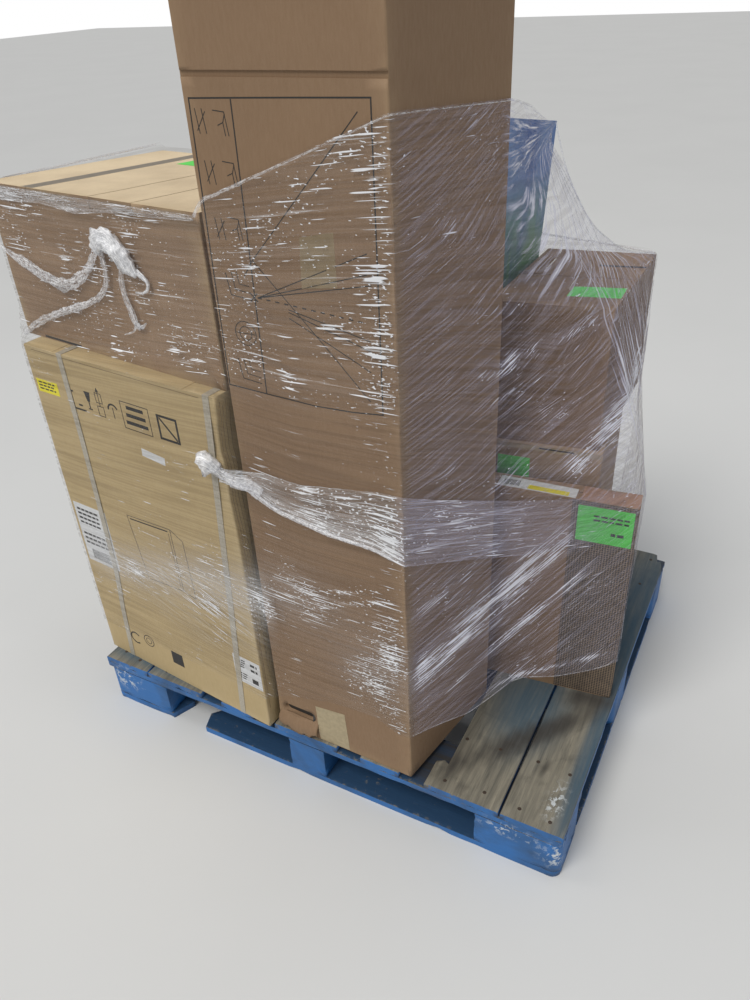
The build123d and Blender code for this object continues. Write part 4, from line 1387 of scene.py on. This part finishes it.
def film_masks(bearings, heights):
    """Where the film is hazy, where it glints, and where the second and third pulls show."""
    right = soft_step(bearings, 39, 43)
    bundles = sum(dense * near_line(bearings, heights, line, width) for line, width, dense in BUNDLES)
    cluster = soft_spot(bearings, heights, *GLINT_CLUSTER)
    dotted = soft_spot(bearings, heights, *DOTTED_PATCH)
    heater_haze = near_line(bearings, heights, HAZY_LINE, 0.060)
    heater_lines = soft_spot(bearings, heights, *HEATER_PATCH)
    thin_lines = sum(near_line(bearings, heights, line, 0.006) for line in FRONT_LINES)
    upper_front = soft_step(bearings, -8, -4) * (1 - right) * soft_step(heights, 0.98, 1.06)
    flat_front = (1 - soft_step(bearings, -10, -6)) * soft_step(bearings, -110, -80)
    flat_front = flat_front * soft_step(heights, 1.0, 1.03)
    corner_dots = soft_spot(bearings, heights, *CORNER_GLINT_DOTS)
    blue = soft_step(heights, 1.08, 1.15) * soft_step(bearings, 76, 82)
    web = soft_step(heights, 0.96, 1.10) * soft_step(bearings, 98, 106)
    cross = 0.85 * right * (1 - 0.6 * blue) + bundles + 0.4 * heater_haze + 2.2 * heater_lines
    haze = 0.05 + 0.30 * right + 0.20 * blue + 0.15 * soft_step(bearings, 96, 100) + 0.6 * cluster
    haze = haze - 0.30 * web + 1.70 * heater_haze + 0.80 * dotted + 0.16 * upper_front + 0.16 * flat_front
    haze = haze + 0.35 * np.clip(bundles, 0, 1.4)
    glint = 0.25 + 0.72 * upper_front + 0.70 * flat_front + 1.45 * cluster + 1.05 * heater_haze
    glint = (glint + 1.5 * thin_lines + 1.25 * dotted + 0.6 * corner_dots) * (1 - 0.90 * right)
    on_flap = soft_step(bearings, 96, 101) * (1 - soft_step(bearings, 134, 140)) * (1 - 0.8 * web)
    steep = np.clip(0.9 * blue + 0.6 * web, 0, 1)
    return dict(zip(MASKS, (haze, glint, cross, right, on_flap, steep)))


def film_folds(heights, lengths, across, across_two, masks):
    """How far wrinkles stand out of the film: long low ones, and deep upright ones at the right."""
    out = np.empty(heights.shape)
    for spot in np.ndindex(out.shape):
        along, over, over_two = lengths[spot], across[spot], across_two[spot]
        long_fold = noise.noise(Vector((along * 2.6, over * 24, 1.5)))
        slant_fold = noise.noise(Vector((along * 3.0, over_two * 26, 7.5)))
        upright_fold = noise.noise(Vector((along * 38, heights[spot] * 4.0, 3.5)))
        fold = 0.0011 * (1 + long_fold) + 0.0016 * min(masks["cross"][spot], 1) * max(slant_fold, 0)
        out[spot] = fold + 0.007 * masks["upright"][spot] * max(upright_fold, 0)
    return out


def grid_mesh(name, points):
    """A sheet of quads through a grid of points, facing the side from which columns run to the right."""
    columns, rows = points.shape[:2]
    numbers = np.arange(columns * rows).reshape(columns, rows)
    corners = (numbers[:-1, :-1], numbers[1:, :-1], numbers[1:, 1:], numbers[:-1, 1:])
    faces = np.stack([corner.ravel() for corner in corners], axis=1)
    mesh = bpy.data.meshes.new(name)
    mesh.from_pydata(points.reshape(-1, 3).tolist(), [], faces.tolist())
    mesh.shade_smooth()
    return mesh


def paint_vectors(mesh, name, values):
    """Store one pair of lengths for each vertex."""
    layer = mesh.attributes.new(name, "FLOAT_VECTOR", "POINT")
    full = np.zeros((len(mesh.vertices), 3), np.float32)
    full[:, :2] = values.reshape(-1, 2)
    layer.data.foreach_set("vector", full.ravel())


def lengths_round(points, bearings, corner):
    """How far each point lies round the film from the column at the tall carton's corner."""
    middle = points[:, points.shape[1] // 2]
    steps = np.linalg.norm(np.diff(middle, axis=0), axis=1)
    run = np.concatenate([[0], np.cumsum(steps)])
    run -= run[np.argmin(np.abs(bearings - corner))]
    return np.repeat(run[:, None], points.shape[1], axis=1)


def streaked_sheet(name, points, flat, pulls, masks, material):
    """A sheet of film that holds its flat layout, its three pulls and its masks."""
    mesh = grid_mesh(name, points)
    lay_uv(mesh, "film", flat)
    for pull, values in zip(PULLS, pulls):
        paint_vectors(mesh, pull, values)
    for mask, values in masks.items():
        paint(mesh, mask, (values + np.zeros(points.shape[:2])).ravel())
    return link(name, mesh, material)


def make_film(material):
    """The main film, a single layer drawn tight round the load, and its flat length and height."""
    bearings, heights = film_layout()
    points = film_points(bearings, heights)
    lengths = lengths_round(points, bearings[:, 0], TALL_CORNER)
    across, across_two = pull_fields(bearings, heights, lengths)
    masks = film_masks(bearings, heights)
    folds = film_folds(heights, lengths, across, across_two, masks)
    outward = np.stack([np.sin(np.radians(bearings)), -np.cos(np.radians(bearings)), 0 * bearings], axis=2)
    smoother = np.clip(np.abs(bearings - SEAM + 360) / 4, 0.2, 1)
    points += outward * (folds * smoother)[:, :, None]
    flat = np.stack([lengths, heights], axis=2)
    pulls = [np.stack([lengths, side], axis=2) for side in (across, across_two)]
    pulls.append(fan_field(heights, lengths))
    piece = streaked_sheet("stretch_film_sheet", points, flat, pulls, masks, material)
    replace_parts(piece, "stretch_film")
    return piece, (float(lengths[-1, 0] - lengths[0, 0]), float(np.mean(heights[:, -1] - heights[:, 0])))


film_piece, film_flat = make_film(film_look("stretch_film", 0.015, 0.16))


def curve_through(points, step):
    """Points spaced evenly along a smooth curve through a few places, and the share of the way at each."""
    points = [Vector(point) for point in points]
    padded = [points[0] * 2 - points[1], *points, points[-1] * 2 - points[-2]]
    fine, shares = [], []
    for index in range(len(points) - 1):
        a, b, c, d = padded[index : index + 4]
        count = max(2, round((c - b).length / step))
        for part in range(count):
            t = part / count
            bend = (2 * a - 5 * b + 4 * c - d) * t**2 + (3 * b - a - 3 * c + d) * t**3
            fine.append(0.5 * (2 * b + (c - a) * t + bend))
            shares.append((index + t) / (len(points) - 1))
    return [*fine, points[-1]], np.array([*shares, 1.0])


ROPE_SIDES = 20


def gathered_rope(name, route, sizes, material, seed, step=0.004, lumps=0.35):
    """A lumpy flattened rope of gathered film. The route holds places and outward ways."""
    places, shares = curve_through([place for place, _ in route], step)
    stops = np.linspace(0, 1, len(route))
    ways = np.array([way for _, way in route])
    outward = np.stack([np.interp(shares, stops, ways[:, axis]) for axis in range(3)], axis=1)
    knots = np.linspace(0, 1, len(sizes))
    widths = np.interp(shares, knots, [size[0] for size in sizes])
    depths = np.interp(shares, knots, [size[1] for size in sizes])
    vertices, flat = [], []
    length = 0.0
    for index, place in enumerate(places):
        before, after = places[max(index - 1, 0)], places[min(index + 1, len(places) - 1)]
        length += (place - before).length
        way = (after - before).normalized()
        out = Vector(outward[index]).normalized()
        across = out.cross(way).normalized()
        out = way.cross(across)
        for side in range(ROPE_SIDES):
            turn = 2 * pi * side / ROPE_SIDES
            ring = Vector((cos(turn) * 1.3, sin(turn) * 1.3, seed * 5.1))
            lump = 1 + lumps * noise.noise(ring * 1.6 + Vector((0, 0, length * 22)))
            lump += 0.6 * lumps * noise.noise(ring * 3.2 + Vector((0, 0, length * 48)))
            lump += 0.5 * lumps * noise.noise(ring * 6.5 + Vector((0, 0, length * 130)))
            move = across * (cos(turn) * widths[index] / 2 * lump)
            vertices.append(place + move + out * ((sin(turn) * lump + 0.85) * depths[index] / 2))
            flat.append((length, side / ROPE_SIDES * (widths[index] + depths[index]) * 1.6))
    rings = len(places)
    faces = []
    for ring in range(rings - 1):
        for side in range(ROPE_SIDES):
            here, there = ring * ROPE_SIDES + side, ring * ROPE_SIDES + (side + 1) % ROPE_SIDES
            faces.append((here, there, there + ROPE_SIDES, here + ROPE_SIDES))
    for ring, turned in ((0, True), (rings - 1, False)):
        cap = [ring * ROPE_SIDES + side for side in range(ROPE_SIDES)]
        faces.append(cap[::-1] if turned else cap)
    mesh = bpy.data.meshes.new(name)
    mesh.from_pydata(vertices, [], faces)
    lay_uv(mesh, "film", np.array(flat))
    face_outwards(mesh)
    mesh.shade_smooth()
    link(name, mesh, material)


def line_places(line, bearings, rise):
    """Places a little above a line at some bearings."""
    return [(bearing, float(line_value(line, bearing)) + rise) for bearing in bearings]


def edge_route(places, lift):
    """A route along the film from bearings and heights."""
    return [(film_point(bearing, height, lift), bearing_way(bearing)) for bearing, height in places]


def face_route(node_name, places, lift):
    """A route over a carton's front from distances from its left end and heights."""
    carton = built[node_name]
    outward = -carton.ways()[1]
    return [(carton.place("front", left, height - carton.foot_z, lift), outward) for left, height in places]


milky = gathered_look("gathered_film", 0.50, 0.97)
sheer = gathered_look("sheer_gathered_film", 0.04, 0.72)
edge_gather = gathered_look("film_edge", 0.0, 0.50)


HEM_STOPS = (*range(-9, 40, 4), 39.8, 40.8, *range(44, 110, 4))


def film_hems():
    """The film's edges, thinly gathered."""
    rising = [(bearing, film_limit(bearing) - 0.003) for bearing in HEM_STOPS]
    sizes = [(0.006, 0.002), (0.0030, 0.0015), (0.0020, 0.0012), (0.0016, 0.0010), (0.0016, 0.0010)]
    gathered_rope("film_top_edge", edge_route(rising, 0.0006), sizes, edge_gather, 3)
    side = [(bearing, film_limit(bearing) - 0.003) for bearing in range(-106, -65, 4)]
    gathered_rope("film_left_edge", edge_route(side, 0.0008), [(0.004, 0.002)] * 2, edge_gather, 4)
    web = [(bearing, height) for height, bearing in WEB_EDGE]
    gathered_rope("film_web_edge", edge_route(web, 0.0), [(0.004, 0.0025)] * 2, edge_gather, 5)
    back = line_places(BACK_LINE, np.arange(BACK_LINE[0][0], BACK_END, 6), -0.003)
    gathered_rope("film_back_edge", edge_route(back, 0.0008), [(0.005, 0.003)] * 2, edge_gather, 6)
    foot = line_places(FOOT_LINE, range(41, 134, 4), 0.002)
    gathered_rope("film_foot_edge", edge_route(foot, 0.0006), [(0.0014, 0.0008)] * 2, edge_gather, 7)


WEB_TOP = (142.0, 1.318)
WEB_FEET = ((109.0, 1.092), (103.5, 1.100), (98.5, 1.114), (92.0, 1.122), (86.0, 1.165))


def film_strands():
    """Pulled strands that fan from the blue carton's top corner down to the upper carton."""
    for number, (bearing, height) in enumerate(WEB_FEET):
        sag = 1 + 0.03 * sin(number * 1.9)
        shares = np.linspace(0.02, 1, 9)
        turned = WEB_TOP[0] + (bearing - WEB_TOP[0]) * shares
        sunk = WEB_TOP[1] + (height - WEB_TOP[1]) * shares**sag
        places = list(zip(turned, sunk))
        sizes = [(0.0030, 0.0015), (0.0018, 0.0012), (0.0026, 0.0014)]
        route = edge_route(places, 0.0004)
        gathered_rope(f"film_strand_{number + 1}", route, sizes, edge_gather, 41 + number)


# The torn tails: places along each one, by distance left of the flat topped carton's right end and height
TAIL_LINES = {
    "left": (
        (-0.591, 1.177), (-0.545, 1.160), (-0.497, 1.145), (-0.406, 1.124), (-0.330, 1.155), (-0.284, 1.200),
        (-0.265, 1.238),
    ),
    "loop": (
        (-0.250, 1.235), (-0.262, 1.208), (-0.262, 1.171), (-0.276, 1.136), (-0.329, 1.101), (-0.416, 1.070),
        (-0.519, 1.029), (-0.593, 0.990),
    ),
    "clump": (
        (-0.272, 1.210), (-0.254, 1.227), (-0.230, 1.230), (-0.210, 1.217), (-0.194, 1.199), (-0.184, 1.185),
        (-0.174, 1.175),
    ),
    "hook": (
        (-0.180, 1.186), (-0.160, 1.176), (-0.150, 1.166), (-0.153, 1.154), (-0.170, 1.144), (-0.190, 1.142),
    ),
    "down": (
        (-0.206, 1.196), (-0.220, 1.165), (-0.222, 1.140), (-0.214, 1.105), (-0.206, 1.082), (-0.196, 1.072),
    ),
    "fork": ((-0.206, 1.082), (-0.192, 1.076), (-0.178, 1.086)),
    "foot": ((-0.206, 1.078), (-0.222, 1.062), (-0.251, 1.050)),
}
# Widths and depths along each tail
TAIL_SIZES = {
    "left": ((0.004, 0.003), (0.022, 0.006), (0.024, 0.006), (0.014, 0.005), (0.014, 0.006)),
    "loop": ((0.018, 0.008), (0.010, 0.007), (0.012, 0.006), (0.014, 0.005), (0.012, 0.004)),
    "clump": ((0.026, 0.014), (0.042, 0.022), (0.044, 0.022), (0.038, 0.018), (0.014, 0.009)),
    "hook": ((0.014, 0.008), (0.008, 0.006), (0.005, 0.004), (0.002, 0.002)),
    "down": ((0.009, 0.006), (0.011, 0.006), (0.013, 0.006), (0.018, 0.006), (0.010, 0.005)),
    "fork": ((0.010, 0.005), (0.008, 0.004), (0.003, 0.002)),
    "foot": ((0.008, 0.004), (0.004, 0.002), (0.0015, 0.0012)),
}
MILKY_TAILS = ("clump", "hook")


def film_tails():
    """Torn ends of film twisted together on the flat topped carton's front."""
    for number, (tail, line) in enumerate(TAIL_LINES.items()):
        places = [(built["carton_flat_top"].width + across, height) for across, height in line]
        route = face_route("carton_flat_top", places, 0.004)
        material = milky if tail in MILKY_TAILS else sheer
        gathered_rope(f"film_tail_{tail}", route, TAIL_SIZES[tail], material, 11 + number, 0.003, 0.55)


BAND_LIFT = 0.0022
BAND_ROWS = 34
BAND_FLAT = 0.115
BAND_SLANT = 0.12
BAND_CORNER = 40.3
BAND_COLUMN = 0.42


def crinkled_strip(name, bearings, low_line, high_line, depth, masks, material):
    """A strip of film crinkled together, lying on the main film between two lines."""
    shares = np.linspace(0, 1, BAND_ROWS)
    grid = np.repeat(bearings[:, None], BAND_ROWS, axis=1)
    low, high = line_value(low_line, grid), line_value(high_line, grid)
    points = film_points(grid, low + (high - low) * shares[None, :])
    lengths = lengths_round(points, bearings, BAND_CORNER)
    flow = np.repeat(shares[None, :], len(bearings), axis=0) * BAND_FLAT
    front = 1 - soft_step(grid, 38, 42)
    for spot in np.ndindex(grid.shape):
        crinkle = noise.noise(Vector((lengths[spot] * 45, flow[spot] * 110, 2.5)))
        long_fold = noise.noise(Vector((lengths[spot] * 7, flow[spot] * 120, 9.5)))
        lift = BAND_LIFT + depth * (front[spot] * max(crinkle, -0.4) + 0.8 * max(long_fold, -0.5))
        points[spot] += np.array(bearing_way(grid[spot])) * lift
    flat = np.stack([lengths, flow], axis=2)
    slanted = np.stack([lengths, flow - BAND_SLANT * lengths], axis=2)
    painted = masks(grid, shares[None, :], front)
    streaked_sheet(name, points, flat, (flat, slanted, flat), painted, material)


def band_masks(grid, shares, front):
    """The band glints on the tall carton's front, and fades out in grey streaks on its right."""
    fade = np.clip((BAND_END - grid) / 30, 0, 1)
    side = (1 - front) * fade
    low = 1 - soft_step(shares, 0.1, 0.6)
    knotted = 1 - soft_step(grid, -4, 14)
    return {
        "haze": (0.45 + 0.9 * low + 0.9 * knotted) * front + 1.0 * side,
        "glint": (1.20 + 0.4 * low + 0.4 * knotted) * front + 0.75 * side,
        "cross": 0.5 * front + 1.1 * side,
        "cool": 1 - front,
        "upright": 0,
        "steep": 0,
    }


def film_band(material):
    """The crinkled band pulled from the knot round the tall carton."""
    bearings = np.arange(-11.5, BAND_END, BAND_COLUMN)
    bearings[np.argmin(np.abs(bearings - BAND_CORNER))] = bearing_of(built["carton_tall"].foot[1])
    crinkled_strip("film_band", bearings, BAND_FOOT, BAND_TOP, 0.0024, band_masks, material)


def top_strip_masks(grid, _shares, _front):
    """The strip along the flat topped carton glints all over, most at its left."""
    left = 1 - soft_step(grid, -60, -20)
    glint = 1.25 + 0.30 * left
    return {"haze": 0.6 + 0.5 * left, "glint": glint, "cross": 0.2, "cool": 0, "upright": 0, "steep": 0}


def film_top_strip(material):
    """The crinkled strip along the flat topped carton's front edge."""
    bearings = np.arange(-67.0, -8.9, BAND_COLUMN)
    crinkled_strip("film_top_strip", bearings, STRIP_FOOT, STRIP_TOP, 0.0035, top_strip_masks, material)


def film_knot():
    """The knot on the right strap, and the rolled lower edge of the band that runs from it."""
    heater = "carton_heater"
    ball = face_route(heater, ((0.484, 0.845), (0.494, 0.852), (0.512, 0.852), (0.528, 0.845)), 0.002)
    sizes = ((0.022, 0.014), (0.040, 0.028), (0.042, 0.028), (0.022, 0.014))
    gathered_rope("film_knot", ball, sizes, milky, 31, 0.002, 0.5)
    neck = face_route(heater, ((0.506, 0.846), (0.520, 0.840), (0.534, 0.834)), 0.003)
    neck += edge_route(line_places(BAND_FOOT, (-5, -1, 3), 0.016), 0.004)
    neck_sizes = ((0.026, 0.018), (0.018, 0.012), (0.022, 0.010), (0.034, 0.005))
    gathered_rope("film_knot_neck", neck, neck_sizes, sheer, 32)
    rolled = edge_route(line_places(BAND_FOOT, range(-7, 41, 3), 0.003), 0.002)
    roll_sizes = ((0.012, 0.006), (0.009, 0.005), (0.006, 0.004))
    gathered_rope("film_band_roll", rolled, roll_sizes, sheer, 33)


film_hems()
film_strands()
film_tails()
film_band(film_look("crinkled_film", 0.03, 0.20, 0.040, 0.30))
film_top_strip(film_look("puckered_film", 0.03, 0.20, 0.030, 0.12))
film_knot()


FLOOR_REACH = 30


def lay_floor():
    """A wide plain pale floor."""
    mesh = bpy.data.meshes.new("floor")
    corners = [(x * FLOOR_REACH, y * FLOOR_REACH, 0) for x, y in ((-1, -1), (1, -1), (1, 1), (-1, 1))]
    mesh.from_pydata(corners, [], [(0, 1, 2, 3)])
    ground = bpy.data.objects.new("floor", mesh)
    mesh.materials.append(plain_look("floor", (0.68, 0.68, 0.67), 0.8, 1.0, 0.01))
    show(ground)


lay_floor()


ROOM_COLOUR = (0.92, 0.95, 1.0, 1)
ROOM_POWER = 0.35
SEEN_WHITE = (1, 1, 1, 1)
KEY_COLOUR = (1.0, 0.98, 0.94)
KEY_POWER = 1.85
KEY_SPREAD = radians(28)
KEY_FROM = Vector((-0.14, -0.56, 0.82))
LAMP_COLOUR = (0.95, 0.97, 1.0)
LAMP_SIZE = (0.25, 3.2)
LAMP_AIM = Vector((0, 0, 0.8))
# Where each long lamp hangs, and its power
LAMPS = {"strip_left": ((-0.8, -0.6, 4.2), 22), "strip_right": ((1.1, -0.4, 4.2), 14)}


def white_room():
    """Even light from all round, with a white background for the camera."""
    world = bpy.data.worlds.new("studio")
    bpy.context.scene.world = world
    world.use_nodes = True
    tree = world.node_tree
    room = tree.nodes["Background"]
    room.inputs["Color"].default_value = ROOM_COLOUR
    room.inputs["Strength"].default_value = ROOM_POWER
    seen = tree.nodes.new("ShaderNodeBackground")
    seen.inputs["Color"].default_value = SEEN_WHITE
    path = tree.nodes.new("ShaderNodeLightPath")
    mixed = tree.nodes.new("ShaderNodeMixShader")
    tree.links.new(path.outputs["Is Camera Ray"], mixed.inputs[0])
    tree.links.new(room.outputs[0], mixed.inputs[1])
    tree.links.new(seen.outputs[0], mixed.inputs[2])
    tree.links.new(mixed.outputs[0], tree.nodes["World Output"].inputs["Surface"])


def key_light():
    """A soft sun from the front."""
    sun = bpy.data.lights.new("key", "SUN")
    sun.energy = KEY_POWER
    sun.angle = KEY_SPREAD
    sun.color = KEY_COLOUR
    key = bpy.data.objects.new("key", sun)
    key.matrix_world = (-KEY_FROM).to_track_quat("-Z", "Y").to_matrix().to_4x4()
    show(key)


def long_lamp(name, place, power):
    """A long lamp overhead, aimed at the load's middle."""
    data = bpy.data.lights.new(name, "AREA")
    data.shape = "RECTANGLE"
    data.size, data.size_y = LAMP_SIZE
    data.energy = power
    data.color = LAMP_COLOUR
    light = bpy.data.objects.new(name, data)
    aim = LAMP_AIM - Vector(place)
    light.matrix_world = Matrix.Translation(place) @ aim.to_track_quat("-Z", "Y").to_matrix().to_4x4()
    show(light)


white_room()
key_light()
for name, (place, power) in LAMPS.items():
    long_lamp(name, place, power)
bpy.context.scene.view_settings.view_transform = "Standard"
